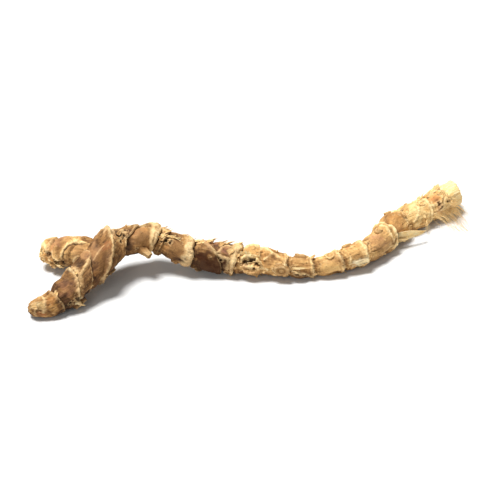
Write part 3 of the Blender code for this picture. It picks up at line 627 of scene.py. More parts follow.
def skinRows(limb):
    # stretch number, place in it, share of the radius and offset past the end for each row of the skin
    def capRows(number, t, cap):
        # rows from the middle of an end outwards, evenly spaced along its outline
        offsets, shares = np.array(cap).T
        steps = np.linalg.norm(np.diff(np.array(cap) * (1, 3.5), axis=0), axis=1)
        run = np.concatenate(([0], np.cumsum(steps)))
        places = np.linspace(0, 1, limb["capRows"], endpoint=False) * run[-1]
        return [(number, t, np.interp(p, run, shares), np.interp(p, run, offsets)) for p in places]

    edges = limb["edges"]
    rows = capRows(0, 0, limb["startCap"])
    for n, (low, high) in enumerate(zip(edges, edges[1:])):
        count = max(12, round((high[0] - low[0]) / limb["rowGap"]))
        rows += [(n, u - 0.5 * math.sin(tau * u) / tau, 1, 0) for u in np.arange(count) / count]
    rows.append((len(edges) - 2, 1, 1, 0))
    rows += reversed(capRows(len(edges) - 2, 1, limb["endCap"]))
    return np.array(rows)


def skinGrid(limb, name):
    # the limb's whole skin: a grid rolled round the centre line, closed at its ends and along its seam
    number, t, share, offset = skinRows(limb).T[..., None]
    number = number.astype(int)
    turn = np.linspace(-math.pi, math.pi, limb["columns"] + 1)
    edges = np.array([ringEdge(limb, n, turn) for n in range(len(limb["edges"]))])
    low, high = edges[number[:, 0]], edges[number[:, 0] + 1]
    s = low + (high - low) * t
    end = np.where(t == 0, limb["edges"][0][0], limb["edges"][-1][0])
    s = np.where(share < 1, end + (s - end) * share, s) + offset
    turn = np.broadcast_to(turn, s.shape)

    flat = np.stack((s, skinRadius * np.cos(turn) * share, skinRadius * np.sin(turn) * share), axis=-1)
    skin = {"s": s, "turn": turn, "t": t, "number": number, "flat": flat, "stain": np.zeros((*s.shape, 4))}
    # rim holds cream bands and pale lines and some painted highlight; gap holds painted shade
    for key in ("height", "rim", "gap", "calm"):
        skin[key] = np.zeros(s.shape)
    skin["wobble"] = pattern(flat, "wobble")
    rng = random.Random(limb["seed"])
    addRelief(limb, skin)
    addRings(limb, skin, high - s, s - low)
    addLines(limb, skin)
    addPits(limb, skin, rng)
    addStains(limb, skin, rng)
    addPeel(limb, skin, (share < 1) & (t == 1) & (limb is stem))

    height = skin["height"]
    overlap = lipOverhang * bell(t - overhangAt[0], overhangAt[1]) * limb["ringForm"][0][number + 1]
    centre, _, forward, up, side = limbFrame(limb, s)
    reach = plainReach(limb, s, turn, number, t) * share + height * smoothStep(share * 1.2)
    points = centre + reach[..., None] * outwardAt(turn, up, side) + overlap[..., None] * forward
    lumpy = endRough * (share < 1) * smoothStep((1 - share) * 6)
    lumpy = lumpy * (pattern(points, "capGrain") + 0.9 * pattern(points, "capLump"))
    points = points + lumpy[..., None] * forward
    points[..., 2] = np.maximum(points[..., 2], 0)
    points[..., :2] -= boxMiddle

    tone = alongLimb(limb, "tones", s) + toneSpread * pattern(flat, "tone")
    tone = tone + fineToneSpread * (1 - skin["calm"]) * pattern(flat, "fineTone")
    # painted highlight on crests and painted shade in hollows of the relief
    tone = tone + reliefPaintedLight * np.clip(height, -0.22, 0.22)
    # painted shade on the underside, set by the turn round the limb
    skin["tone"] = tone - paintedUndersideShade * smoothStep(0.1 - np.cos(turn))
    return gridPiece(name, points, skin)


# Tools for the objects and their meshes
def addToScene(name, data, place=(0, 0, 0)):
    thing = bpy.data.objects.new(name, data)
    bpy.context.scene.collection.objects.link(thing)
    thing.location = place
    return thing


def startEdit(name):
    # names the active object and opens it in edit mode with all of it selected
    piece = bpy.context.object
    piece.name = piece.data.name = name
    bpy.ops.object.mode_set(mode="EDIT")
    bpy.ops.mesh.select_all(action="SELECT")
    return piece


def writeLooks(mesh, points, looks):
    # the points, and the values that the bark's material reads at them
    count = len(mesh.vertices)
    mesh.vertices.foreach_set("co", np.ravel(points * mm))
    for key in ("tone", "rim", "gap", "pith"):
        values = np.ones(count) * np.ravel(looks.get(key, 0))
        mesh.attributes.new(key, "FLOAT", "POINT").data.foreach_set("value", values)
    stain = looks.get("stain", np.zeros((count, 4)))
    mesh.attributes.new("stain", "FLOAT_COLOR", "POINT").data.foreach_set("color", np.ravel(stain))
    straight = looks.get("flat", points)
    mesh.attributes.new("straight", "FLOAT_VECTOR", "POINT").data.foreach_set("vector", np.ravel(straight))
    mesh.update()


def gridPiece(name, points, skin):
    # a plane divided into the same grid, shaped point by point, merged along its seam and turned outwards
    rows, columns = points.shape[:2]
    bpy.ops.object.select_all(action="DESELECT")
    bpy.ops.mesh.primitive_grid_add(x_subdivisions=columns - 1, y_subdivisions=rows - 1, size=1)
    writeLooks(bpy.context.object.data, points, skin)
    piece = startEdit(name)
    bpy.ops.mesh.remove_doubles(threshold=mergeGap * mm)
    bpy.ops.mesh.normals_make_consistent(inside=False)
    bpy.ops.object.mode_set(mode="OBJECT")
    bpy.ops.object.shade_smooth()
    return piece


def copiesPiece(name, template, shaped):
    # one copy of the template for each pair of points and looks, joined, turned outwards and shaded
    copies = []
    for points, looks in shaped:
        copies.append(addToScene(name, template.data.copy()))
        placed = points - (*boxMiddle, 0)
        placed[:, 2] = np.maximum(placed[:, 2], aboveFloor)
        writeLooks(copies[-1].data, placed, looks)
    bpy.ops.object.select_all(action="DESELECT")
    for copy in copies:
        copy.select_set(True)
    bpy.context.view_layer.objects.active = copies[0]
    bpy.ops.object.join()
    piece = startEdit(name)
    bpy.ops.mesh.normals_make_consistent(inside=False)
    bpy.ops.object.mode_set(mode="OBJECT")
    bpy.ops.object.shade_smooth_by_angle(angle=math.radians(smoothAngle))
    bpy.data.objects.remove(template, do_unlink=True)
    return piece


def meshPoints(piece):
    points = np.zeros(len(piece.data.vertices) * 3)
    piece.data.vertices.foreach_get("co", points)
    return points.reshape(-1, 3)


traceLimb(stem)
traceLimb(arm)
rhizome = skinGrid(stem, "rhizomeSkin")
armSkin = skinGrid(arm, "armSkin")
print("skins:", len(rhizome.data.polygons), len(armSkin.data.polygons))


# Root scars and short stubs: distance, turn, radius, height, lean along the limb, how many times longer
# than wide. The first ones are in view, and a seeded rule gives those that face down and away.
scars = {
    "sides": 24,
    "sunk": 0.9,
    "dishDepth": 0.9,  # a taller stub has its dish at its end
    "ragged": 0.34,
    "fineRagged": 0.14,
    # outline above the skin, as share of the height and of the radius: foot, rim, dish, core
    "outline": (
        (0, 1.18), (0.3, 1.08), (0.66, 1.02), (0.9, 0.97), (1, 0.87), (0.97, 0.76), (0.76, 0.66),
        (0.58, 0.52), (0.62, 0.4), (0.8, 0.3), (0.82, 0.16),
    ),
    "stem": (
        (11.4, 136, 1.1, 0.8, 0, 1), (20.8, 126, 0.8, 0.6, 0, 1), (37.2, 107, 1.05, 3.6, 0.7, 1),
        (77.6, 82, 1.4, 0.55, 0, 1.4), (80.6, 60, 0.7, 0.35, 0, 1), (82.8, -44, 1.4, 1.1, 0.2, 1.3),
        (91, 8, 1.05, 0.45, 0, 1.2), (97.4, -28, 0.9, 0.5, 0.1, 1.5), (108.4, -6, 0.85, 0.5, 0.2, 1.6),
        (118.2, -38, 0.85, 0.5, 0.2, 1.2), (120.2, 24, 0.6, 0.35, 0, 1), (119, 70, 0.55, 0.3, 0, 1),
        (129.4, 14, 0.75, 0.4, 0, 1.2),
    ),
    "arm": (
        (2.4, 92, 0.9, 0.4, 0, 1), (4.6, 124, 0.8, 0.5, 0, 1),
    ),
    # those on the underside: seed, and ranges of their turn, radius and height
    "seed": 7,
    "turns": (120, 250),
    "radii": (0.7, 1.1),
    "heights": (0.35, 0.8),
    "clearOfFloor": 0.5,
}


def undersideScars(limb, rng):
    # one or two a stretch between rings, left out where they would reach the floor
    places = []
    for low, high in zip(limb["edges"], limb["edges"][1:]):
        for _ in range(rng.choice((1, 2))):
            s = low[0] + (high[0] - low[0]) * rng.uniform(0.2, 0.75)
            turn, radius, height = (rng.uniform(*scars[key]) for key in ("turns", "radii", "heights"))
            centre, limbRadius, _, up, side = limbFrame(limb, np.array([s]))
            outward = outwardAt(np.radians([turn]), up, side)[0]
            tip = centre[0][2] + outward[2] * (limbRadius[0] + height)
            if tip - radius * math.sqrt(max(0, 1 - outward[2] ** 2)) > scars["clearOfFloor"]:
                places.append((s, turn, radius, height, rng.uniform(-0.15, 0.25), 1))
    return places


def scarTemplate():
    # a disc drawn up into a stub, ring by ring; its radius and its height are 1
    height, radius = -1, scars["outline"][0][1]
    bpy.ops.object.select_all(action="DESELECT")
    bpy.ops.mesh.primitive_circle_add(vertices=scars["sides"], radius=radius, fill_type="NGON")
    template = startEdit("scarShape")
    bpy.ops.transform.translate(value=(0, 0, height))
    for nextHeight, nextRadius in scars["outline"]:
        bpy.ops.mesh.extrude_region_move(TRANSFORM_OT_translate={"value": (0, 0, nextHeight - height)})
        bpy.ops.transform.resize(value=(nextRadius / radius, nextRadius / radius, 1))
        height, radius = nextHeight, nextRadius
    bpy.ops.object.mode_set(mode="OBJECT")
    return template


def raiseScar(shape, limb, spec, seed):
    # points and looks of one scar: a ragged rim round a dish, on a foot sunk in the skin
    s, turn, radius, height, lean, longer = spec
    foot, outward, forward = spotOnSkin(limb, s, turn)
    axis = outward + lean * forward
    axis /= np.linalg.norm(axis)
    across = np.cross(axis, forward)
    across /= np.linalg.norm(across)
    ahead = np.cross(across, axis)
    x, y, z = shape.T
    wide = np.hypot(x, y)
    above = z > -0.5
    ragged = noiseOf(x * 1.7 + seed, y * 1.7, z)
    fine = noiseOf(x * 5, y * 5 + seed, z * 3)
    low = min(height, scars["dishDepth"])
    tall = max(0, height - scars["dishDepth"])
    taper = 1 - 0.06 * tall / height * np.clip(z, 0, 1)
    reach = (radius * taper * (1 + scars["ragged"] * ragged + scars["fineRagged"] * fine))[:, None]
    dish = (1 - z) * np.where(wide < 0.8, low, height)
    edge = 0.8 * min(tall, 1) * np.clip(wide, 0, 1.1) ** 3 * (z > 0.5)
    rise = np.where(above, height - dish - edge + 0.22 * (ragged + fine) * low, -scars["sunk"])
    points = foot + reach * (x[:, None] * across + y[:, None] * longer * ahead) + rise[:, None] * axis
    onCore = bell(wide, 0.24) * (z > 0.7)
    looks = {
        "tone": alongLimb(limb, "tones", s) - 0.1 + 0.1 * ragged + 0.03 * tall,
        "rim": np.clip(above * (0.8 * bell(wide - 0.9, 0.12) + 0.55 * onCore), 0, 1),
        # painted shade in the dish and round the foot
        "gap": above * ((0.1 + 0.5 * low) * bell(wide - 0.5, 0.12) + 0.4 * bell(wide - 1.17, 0.06)),
        "pith": np.clip(0.5 * tall * (z - 0.6) * (0.5 + 1.4 * fine), 0, 0.35),
    }
    return points, looks


def addScars():
    template = scarTemplate()
    shape = meshPoints(template)
    rng = random.Random(scars["seed"])
    shaped = []
    for key, limb in limbs.items():
        for spec in (*scars[key], *undersideScars(limb, rng)):
            shaped.append(raiseScar(shape, limb, spec, 7.7 * len(shaped)))
    return copiesPiece("rootScars", template, shaped)


rootScars = addScars()
print("scars and stubs:", len(rootScars.data.polygons), "faces")


# Dry remains of leaf bases. Each is a thin blade: limb, distance, turn, length, width, lift off the skin,
# bend along its length, heading (degrees, 0 forward, 90 downwards on the side of the camera), how much it
# narrows, roll of its edges, how torn its tip is, its tone and how much of it is pale pith.
scales = {
    "thickness": 0.16,
    "across": 14,
    "along": 26,
    "named": (
        ("stem", 113.2, 96, 10, 3.8, 28, 12, 3, 0.94, 0.4, 0.2, 1, 1.2),
        ("stem", 113.6, 112, 3.2, 2, 34, 10, 18, 0.7, 0.4, 0.5, 0.92, 0.7),
        ("stem", 121.2, -34, 6, 3, 3, 10, 4, 0.45, -0.6, 0.3, 0.54, 0),
        ("stem", 67.4, 34, 1.7, 3.6, 44, 30, 84, 0.3, -0.6, 0.5, 0.98, 0.85),
        ("stem", 70.4, 42, 1.5, 2.8, 40, 30, 96, 0.4, -0.5, 0.6, 0.94, 0.7),
        ("stem", 71.4, 62, 1.4, 2, 30, 30, 70, 0.4, -0.5, 0.6, 0.94, 0.6),
        ("stem", 69.2, 92, 1.3, 3.6, 34, 20, -84, 0.35, -0.4, 0.5, 0.6, 0),
        ("stem", 72.4, 94, 1.2, 2.2, 30, 20, -70, 0.4, -0.4, 0.5, 0.8, 0.2),
        ("stem", 79.4, 74, 6.6, 0.8, 9, 4, 22, 0.75, 0.3, 0.3, 1, 1.1),
        ("stem", 47.8, -36, 2.6, 1.8, 18, -2, 10, 0.6, 0.4, 0.8, 0.9, 0.45),
        ("stem", 43, 14, 3.4, 1.8, 16, 14, 20, 0.7, 0.5, 0.6, 0.8, 0.25),
        ("stem", 43.4, 36, 2, 1.2, 30, 10, 30, 0.6, 0.5, 0.7, 0.92, 0.4),
        ("stem", 42.6, -22, 2.4, 2.6, 12, 12, 4, 0.45, 0.4, 0.7, 0.78, 0.2),
        ("stem", 52.2, -26, 3, 2.8, 12, 12, 6, 0.5, 0.4, 0.8, 0.86, 0.35),
        ("stem", 53.6, 8, 2.6, 2.4, 14, 16, 24, 0.55, 0.4, 0.8, 0.82, 0.3),
        ("stem", 55.4, -14, 3.2, 2.6, 12, 16, -10, 0.5, 0.5, 0.7, 0.66, 0.15),
        ("stem", 57.2, -34, 2.4, 2.2, 12, 8, 10, 0.6, 0.5, 0.8, 0.84, 0.3),
        ("stem", 59.6, -6, 3, 2.4, 14, 18, 16, 0.55, 0.5, 0.7, 0.6, 0.1),
        ("stem", 61.6, -30, 2.8, 2.2, 10, 14, 8, 0.55, 0.4, 0.8, 0.8, 0.3),
        ("stem", 62.4, 34, 2.2, 1.8, 16, 14, 34, 0.6, 0.4, 0.6, 0.72, 0.2),
        ("stem", 64.6, -22, 2, 2.6, 16, 12, 0, 0.4, 0.3, 0.8, 0.88, 0.4),
        ("stem", 30.6, 22, 1.6, 1.2, 14, 14, 20, 0.5, 0.5, 0.7, 0.52, 0.05),
        ("stem", 29, 44, 1.4, 1.2, 22, 16, 30, 0.5, 0.5, 0.7, 0.74, 0.15),
        ("stem", 9.8, 124, 1.8, 1.5, 26, 20, -10, 0.5, 0.3, 0.5, 0.9, 0.5),
        ("stem", 7, 20, 1.5, 1.2, 5, 12, 30, 0.5, 0.4, 0.6, 0.84, 0.4),
        ("stem", 1.6, 42, 1.8, 1.7, 10, 16, 178, 0.7, 0.3, 0.4, 0.8, 0.3),
        ("stem", 98, 104, 3, 2, 10, 10, 6, 0.6, 0.4, 0.6, 0.92, 0.3),
        ("stem", 100.8, 74, 1.8, 1.6, 14, 12, 10, 0.5, 0.4, 0.6, 0.84, 0.15),
        ("stem", 104.2, 96, 2.6, 1.4, 8, 10, -8, 0.6, 0.4, 0.5, 0.74, 0),
        ("stem", 93.8, -30, 1.8, 2.2, 14, 14, 4, 0.4, 0.3, 0.6, 0.82, 0),
        ("stem", 85.6, -20, 1.6, 2.4, 14, 14, 4, 0.4, 0.3, 0.6, 0.82, 0),
        ("stem", 131, -34, 2.6, 2.4, 12, 12, 6, 0.5, 0.4, 0.6, 0.8, 0.1),
        ("stem", 133.6, 4, 2.2, 1.8, 18, 14, 24, 0.5, 0.5, 0.7, 0.84, 0.25),
        ("stem", 136.4, 34, 2.4, 2, 16, 12, 30, 0.5, 0.5, 0.7, 0.8, 0.2),
        ("stem", 137.6, -20, 2.4, 2.4, 14, 12, 6, 0.5, 0.4, 0.7, 0.74, 0.15),
        ("stem", 135.4, 74, 2.6, 1.8, 22, 12, 16, 0.6, 0.4, 0.7, 0.88, 0.4),
        ("arm", 2.6, 78, 1.6, 1.6, 14, 10, 200, 0.45, -0.5, 0.5, 0.86, 0.35),
        ("arm", 5.8, 124, 3, 1.3, 30, -34, 14, 0.45, -0.8, 0.2, 1, 1),
        ("arm", 5.6, 140, 2.6, 0.9, 26, -20, 8, 0.5, -0.8, 0.2, 0.96, 0.75),
        ("arm", 5, 108, 1.6, 1, 22, 14, 60, 0.5, -0.5, 0.5, 0.84, 0.35),
        ("arm", 3.4, 130, 1.6, 1.2, 20, 8, 220, 0.55, -0.5, 0.5, 0.86, 0.45),
        ("stem", 80.6, 54, 1.7, 0.8, 16, 8, 34, 0.6, 0.4, 0.7, 1, 0.9),
        ("stem", 81.9, 70, 1.3, 0.7, 18, 8, 60, 0.6, 0.4, 0.7, 1, 0.9),
    ),
}
# Small shreds of skin: how many stand at a ring with a low and with a high lip, on the arm's torn tip,
# round the cut end and loose on the stretches, with ranges for their length, width and lift. The forms
# are ranges for bend, narrowing, roll and how torn.
shreds = {
    "across": 4,
    "along": 6,
    "thickness": 0.1,
    "seed": 33,
    "atRing": (1, 5),
    "ringSize": (0.5, 1.1, 0.4, 1.1, 4, 22),
    "onTip": 4,
    "tipSize": (0.6, 1.1, 1, 1.8, 4, 20),
    "onCut": 18,
    "cutSize": (0.6, 1.5, 0.35, 0.9, -8, 26),
    "loose": 56,
    "looseSize": (0.6, 1.5, 0.4, 1.2, 4, 18),
    "forms": ((0, 40), (0.3, 0.9), (-0.5, 0.7), (0.2, 0.9)),
}


def bladeTemplate(across, along):
    # a thin plate from 0 to 1 along Y and -0.5 to 0.5 across X, 1 thick, to be bent into a blade
    bpy.ops.object.select_all(action="DESELECT")
    bpy.ops.mesh.primitive_grid_add(x_subdivisions=across, y_subdivisions=along, size=1)
    template = startEdit("bladeShape")
    bpy.ops.transform.translate(value=(0, 0.5, 0))
    bpy.ops.object.mode_set(mode="OBJECT")
    wall = template.modifiers.new("wall", "SOLIDIFY")
    wall.thickness = 1
    wall.offset = 0
    bpy.ops.object.modifier_apply(modifier=wall.name)
    return template


def bendBlade(shape, spec, thickness, seed):
    # points and looks of one blade: it leaves the skin at its lift and bends on along its length
    limbName, s, turn, length, width, lift, bend, heading, narrows, roll, torn, tone, pith = spec
    foot, outward, forward = spotOnSkin(limbs[limbName], s, turn)
    ahead, across = headingOnSkin(forward, outward, heading)
    x, y, z = shape.T
    edge = noiseOf(seed, y * 3, np.copysign(2, x))
    tip = noiseOf(x * 3.4 + seed, 5, seed) + 0.6 * noiseOf(x * 9 + seed, 9, seed)
    rib = noiseOf(x * 7 + seed, y * 0.8, 3)
    ripple = noiseOf(x * 1.6 + seed, y * 2.2, 8)
    reach = y * length * (1 - torn * np.clip(0.35 + 1.3 * tip, 0, 0.85))
    share = reach / length
    half = width * (1 - narrows * share**1.6) * (1 + 0.55 * edge * y)
    angle = np.radians(lift + 0.5 * bend * share)
    lifted = reach * np.sin(angle) - 0.22 * (1 - y) + roll * width * x * x * 0.9 * y
    lifted = lifted + 0.1 * rib + 0.13 * width * ripple * y
    points = (
        foot
        + (reach * np.cos(angle))[:, None] * ahead
        + (x * half)[:, None] * across
        + (lifted + z * thickness * (1 - 0.5 * y))[:, None] * outward
    )
    sheer = np.clip(np.abs(x) * 2, 0, 1) ** 6
    looks = {
        "tone": tone - 0.06 + 0.22 * rib,
        "rim": np.clip(0.75 * np.maximum(sheer, y**5) + 0.3 * rib, 0, 1),
        # painted shade at the blade's foot and on its underside
        "gap": np.clip(0.85 * (1 - y * 5) + 0.3 * (z < 0) * (1 - y), 0, 1),
        "pith": np.clip(pith * (0.85 + 0.4 * y + 0.8 * rib), 0, 1),
        "flat": np.stack((reach, x * width, z * 0.1), axis=-1) + seed,
    }
    return points, looks


def ringSpots(limb, rng, counts, low, high):
    # places round each ring, as many as are given for a low and for a high lip, near its edge
    for number, edge in enumerate(limb["edges"]):
        for _ in range(counts[edge[3] > highLip] if edge[3] else 0):
            turn = rng.uniform(-180, 180)
            yield float(ringEdge(limb, number, np.radians([turn]))[0]) + rng.uniform(low, high), turn


def shredSpecs():
    # small blades in the same form as the named ones
    rng = random.Random(shreds["seed"])

    def blade(limbName, s, turn, size, heading, tone, pith):
        length, width, lift = (rng.uniform(*size[k : k + 2]) for k in (0, 2, 4))
        bend, *form = (rng.uniform(*pair) for pair in shreds["forms"])
        return limbName, s, turn, length, width, lift, bend, heading, *form, tone, pith

    specs = []
    for name, limb in limbs.items():
        for s, turn in ringSpots(limb, rng, shreds["atRing"], -0.1, -0.5):
            heading, tone = rng.gauss(0, 28), rng.uniform(0.6, 0.95)
            specs.append(blade(name, s, turn, shreds["ringSize"], heading, tone, 0.15))
    for _ in range(shreds["onTip"]):
        s, turn = rng.uniform(0.2, 2.6), rng.gauss(110, 55)
        pith, heading = rng.choice((0.2, 0.5, 0.8)), 180 + rng.gauss(0, 35)
        specs.append(blade("arm", s, turn, shreds["tipSize"], heading, rng.uniform(0.6, 1), pith))
    for _ in range(shreds["onCut"]):
        turn = rng.uniform(-180, 180)
        place, slant, leads = stem["peeledFrom"]
        s = place + slant * math.cos(math.radians(turn - leads)) - rng.uniform(-0.6, 0.6)
        heading, tone = rng.gauss(0, 24), rng.uniform(0.8, 1)
        specs.append(blade("stem", s, turn, shreds["cutSize"], heading, tone, 0.7))
    for _ in range(shreds["loose"]):
        s, turn = rng.uniform(2, 139), rng.uniform(-180, 180)
        tone = float(alongLimb(stem, "tones", s)) + rng.uniform(-0.15, 0.15)
        specs.append(blade("stem", s, turn, shreds["looseSize"], rng.gauss(0, 40), tone, 0))
    return specs


def addBlades(name, specs, form):
    template = bladeTemplate(form["across"], form["along"])
    shape = meshPoints(template)
    shaped = [bendBlade(shape, spec, form["thickness"], 3.1 * k + 0.5) for k, spec in enumerate(specs)]
    return copiesPiece(name, template, shaped)


leafScales = addBlades("leafScales", scales["named"], scales)
skinShreds = addBlades("skinShreds", shredSpecs(), shreds)
print("scales and shreds:", len(leafScales.data.polygons), len(skinShreds.data.polygons), "faces")


# Fibres and hairs. A group is limb, how many, then ranges of distance, turn, length, thickness, lift off
# the skin, heading and droop, and how curly they are.
fibres = {
    "sides": 5,
    "rings": 9,
    "seed": 91,
    "groups": (
        (
            "stem", 30, (129.5, 134.5), (74, 96), (6, 10.5), (0.05, 0.09), (10, 34),
            (-16, 8), (0.36, 0.62), 0.08,
        ),
        ("stem", 44, (133, 139), (76, 98), (4, 8), (0.05, 0.09), (10, 40), (-14, 12), (0.36, 0.7), 0.1),
        (
            "stem", 84, (130.5, 139), (76, 116), (2.5, 5.5), (0.06, 0.11), (2, 24),
            (-14, 14), (0.05, 0.35), 0.1,
        ),
        ("stem", 5, (128, 130), (88, 100), (3, 5), (0.04, 0.07), (30, 56), (120, 170), (0.2, 0.5), 0.12),
        ("stem", 22, (138.6, 141), (60, 300), (0.8, 2.2), (0.05, 0.1), (-8, 24), (-22, 22), (0, 0.2), 0.12),
        (
            "stem", 18, (115.5, 121.5), (104, 124), (1, 2.8), (0.04, 0.07), (8, 44),
            (20, 130), (0.1, 0.4), 0.14,
        ),
        ("arm", 3, (2, 8), (70, 150), (0.7, 1.4), (0.08, 0.14), (4, 30), (0, 360), (0, 0.2), 0.14),
        ("stem", 2, (64.8, 66.4), (-26, -6), (2.6, 3.6), (0.07, 0.09), (24, 38), (168, 190), (0, 0.05), 0.04),
        ("stem", 6, (42.8, 44.4), (18, 34), (2.8, 5.6), (0.08, 0.16), (7, 13), (2, 24), (0, 0.04), 0.06),
        ("stem", 2, (59, 61.6), (-10, 8), (2.8, 3.6), (0.08, 0.1), (8, 14), (60, 76), (0, 0.03), 0.02),
        ("stem", 10, (54, 67), (-34, 20), (0.8, 1.9), (0.06, 0.1), (2, 14), (0, 360), (0, 0.2), 0.14),
        ("stem", 10, (41, 48), (-24, 40), (0.8, 2), (0.05, 0.08), (2, 18), (0, 360), (0, 0.2), 0.14),
        ("stem", 5, (75.4, 78), (128, 146), (1.4, 2.6), (0.04, 0.06), (20, 60), (60, 110), (0, 0.2), 0.1),
        ("stem", 8, (66.6, 72.6), (40, 96), (0.8, 2), (0.05, 0.08), (10, 40), (0, 360), (0, 0.2), 0.12),
    ),
    "hairsAtRing": (2, 2),
    "rooted": 0.3,
    "thinning": 0.72,
    "restHeight": 0.06,
    "forwardDroop": 1.7,  # how much more a strand sweeps towards the front than it sinks
    "hair": ((0.4, 1.2), (0.03, 0.06), (4, 26), (-70, 70), (0, 0.3), 0.16),
}


def strandTemplate():
    # a thin tube from 0 to 1 along Z, drawn up from a small disc
    bpy.ops.object.select_all(action="DESELECT")
    bpy.ops.mesh.primitive_circle_add(vertices=fibres["sides"], radius=1, fill_type="NGON")
    template = startEdit("strandShape")
    for _ in range(fibres["rings"]):
        bpy.ops.mesh.extrude_region_move(TRANSFORM_OT_translate={"value": (0, 0, 1 / fibres["rings"])})
    bpy.ops.object.mode_set(mode="OBJECT")
    return template


def bendStrand(shape, limb, place, rng):
    # points of one strand: it leaves the skin, wanders a little, droops and comes to lie on the floor
    s, turn, length, thickness, lift, heading, droop, curly = place
    foot, outward, forward = spotOnSkin(limb, s, turn)
    along, across = headingOnSkin(forward, outward, heading)
    x, y, u = shape.T
    rise = np.radians(lift * (0.55 + 0.45 * u))[:, None]
    ahead = np.cos(rise) * along + np.sin(rise) * outward
    above = np.cos(rise) * outward - np.sin(rise) * along
    swing, lean = rng.uniform(-1, 1) * curly, rng.uniform(-1, 1) * curly
    phase = rng.uniform(0, tau)
    wander = swing * length * np.sin(u * 3)
    wander = wander + 0.25 * curly * length * (np.sin(u * 9 + phase) - math.sin(phase))
    thick = thickness * (1 - fibres["thinning"] * u**1.5)
    points = (
        foot
        - fibres["rooted"] * outward
        + (u * length)[:, None] * ahead
        + (wander + x * thick)[:, None] * across
        + (lean * length * u * u + y * thick)[:, None] * above
    )
    points[:, 1] -= fibres["forwardDroop"] * droop * length * u**3
    points[:, 2] -= droop * length * u * u
    points[:, 2] = np.maximum(points[:, 2], fibres["restHeight"] + 0.05 * y)
    return points


def addFibres():
    template = strandTemplate()
    shape = meshPoints(template)
    rng = random.Random(fibres["seed"])
    shaped = []

    def strand(limb, s, turn, ranges, curly):
        place = (s, turn, *(rng.uniform(*pair) for pair in ranges), curly)
        points = bendStrand(shape, limb, place, rng)
        looks = {
            "tone": rng.uniform(0.9, 1),
            "pith": rng.choice((0.3, 0.6, 0.9)),
            # painted shade at the strand's root
            "gap": 0.3 * np.clip(1 - shape[:, 2] * 6, 0, 1),
        }
        shaped.append((points, looks))

    for limbName, count, along, turns, *ranges, curly in fibres["groups"]:
        for _ in range(count):
            strand(limbs[limbName], rng.uniform(*along), rng.uniform(*turns), ranges, curly)
    *ranges, curly = fibres["hair"]
    for limb in limbs.values():
        for s, turn in ringSpots(limb, rng, fibres["hairsAtRing"], -0.8, 0.3):
            strand(limb, s, turn, ranges, curly)
    return copiesPiece("dryFibres", template, shaped)


dryFibres = addFibres()
print("fibres and hairs:", len(dryFibres.data.polygons), "faces")


# The bark's material: colours by tone, and those of the ring bands, the bare pith, the painted shade in
# cracks, hollows and under blades and strands, and the specks
barkLook = {
    "tones": (
        (0, (52, 32, 16)),
        (0.2, (98, 66, 36)),
        (0.42, (150, 108, 62)),
        (0.62, (186, 142, 88)),
        (0.8, (214, 168, 104)),
        (1, (242, 206, 142)),
    ),
    # colours of the rim layer: real cream bands and pale lines, and painted highlight on crests and step
    # edges
    "dullRim": ((0.3, (176, 136, 88)), (0.48, (210, 172, 120)), (0.7, (240, 212, 162))),
    "brightRim": ((0.3, (226, 184, 122)), (0.48, (250, 218, 158)), (0.7, (255, 242, 200))),
    "pith": ((0.32, (222, 172, 100)), (0.46, (248, 212, 144)), (0.64, (252, 234, 188))),
    # colour of the painted shade, laid where the gap layer is strong
    "gap": (44, 27, 17),
    "speck": (70, 44, 26),
    # noise: how fine along and across the skin, or in all directions, then detail and roughness
    "streakScale": (0.5, 5, 5),
    "streaks": (1, 4, 0.6),
    "fineStreakScale": (1.6, 14, 14),
    "fineStreaks": (1, 3, 0.65),
    "mottle": (420, 4, 0.6),
    "specks": (2600, 2, 0.5),
    # how much each of the four changes the tone, and the bumps of two as strength and depth
    "toneShares": (0.34, 0.22, 0.4, 0.2),
    "streakBump": (0.55, 0.16),
    "speckBump": (0.5, 0.12),
    "roughness": (0.62, 0.92),
    "specular": 0.2,
}
bark = bpy.data.materials.new("driedBark")
bark.use_nodes = True
barkTree = bark.node_tree


def addNode(kind, inputs=None, **settings):
    made = barkTree.nodes.new(kind)
    for key, value in settings.items():
        setattr(made, key, value)
    for key, value in (inputs or {}).items():
        if isinstance(value, bpy.types.NodeSocket):
            barkTree.links.new(value, made.inputs[key])
        else:
            made.inputs[key].default_value = value
    return made


def readLook(name, output="Fac"):
    return addNode("ShaderNodeAttribute", attribute_name=name).outputs[output]


def noiseNode(vector, scale, detail, roughness):
    inputs = {"Vector": vector, "Scale": scale, "Detail": detail, "Roughness": roughness}
    return addNode("ShaderNodeTexNoise", inputs).outputs["Fac"]


def maths(operation, first, second=0.5, third=0.5, clamp=False):
    inputs = {0: first, 1: second, 2: third}
    return addNode("ShaderNodeMath", inputs, operation=operation, use_clamp=clamp).outputs[0]


def blend(amount, first, second):
    return addNode("ShaderNodeMix", {0: amount, 6: first, 7: second}, data_type="RGBA").outputs[2]


def ramp(value, stops):
    made = addNode("ShaderNodeValToRGB", {"Fac": value})
    elements = made.color_ramp.elements
    while len(elements) < len(stops):
        elements.new(0.5)
    for element, (place, look) in zip(elements, stops):
        element.position = place
        element.color = colour(look)
    return made.outputs["Color"]


def remap(value, low, high, toLow=0, toHigh=1):
    inputs = {"Value": value, "From Min": low, "From Max": high, "To Min": toLow, "To Max": toHigh}
    return addNode("ShaderNodeMapRange", inputs, clamp=True).outputs["Result"]


def stretched(vector, factors):
    return addNode("ShaderNodeMapping", {"Vector": vector, "Scale": factors}).outputs["Vector"]


def bump(strength, depth, height, **under):
    inputs = {"Strength": strength, "Distance": depth * mm, "Height": height, **under}
    return addNode("ShaderNodeBump", inputs).outputs["Normal"]


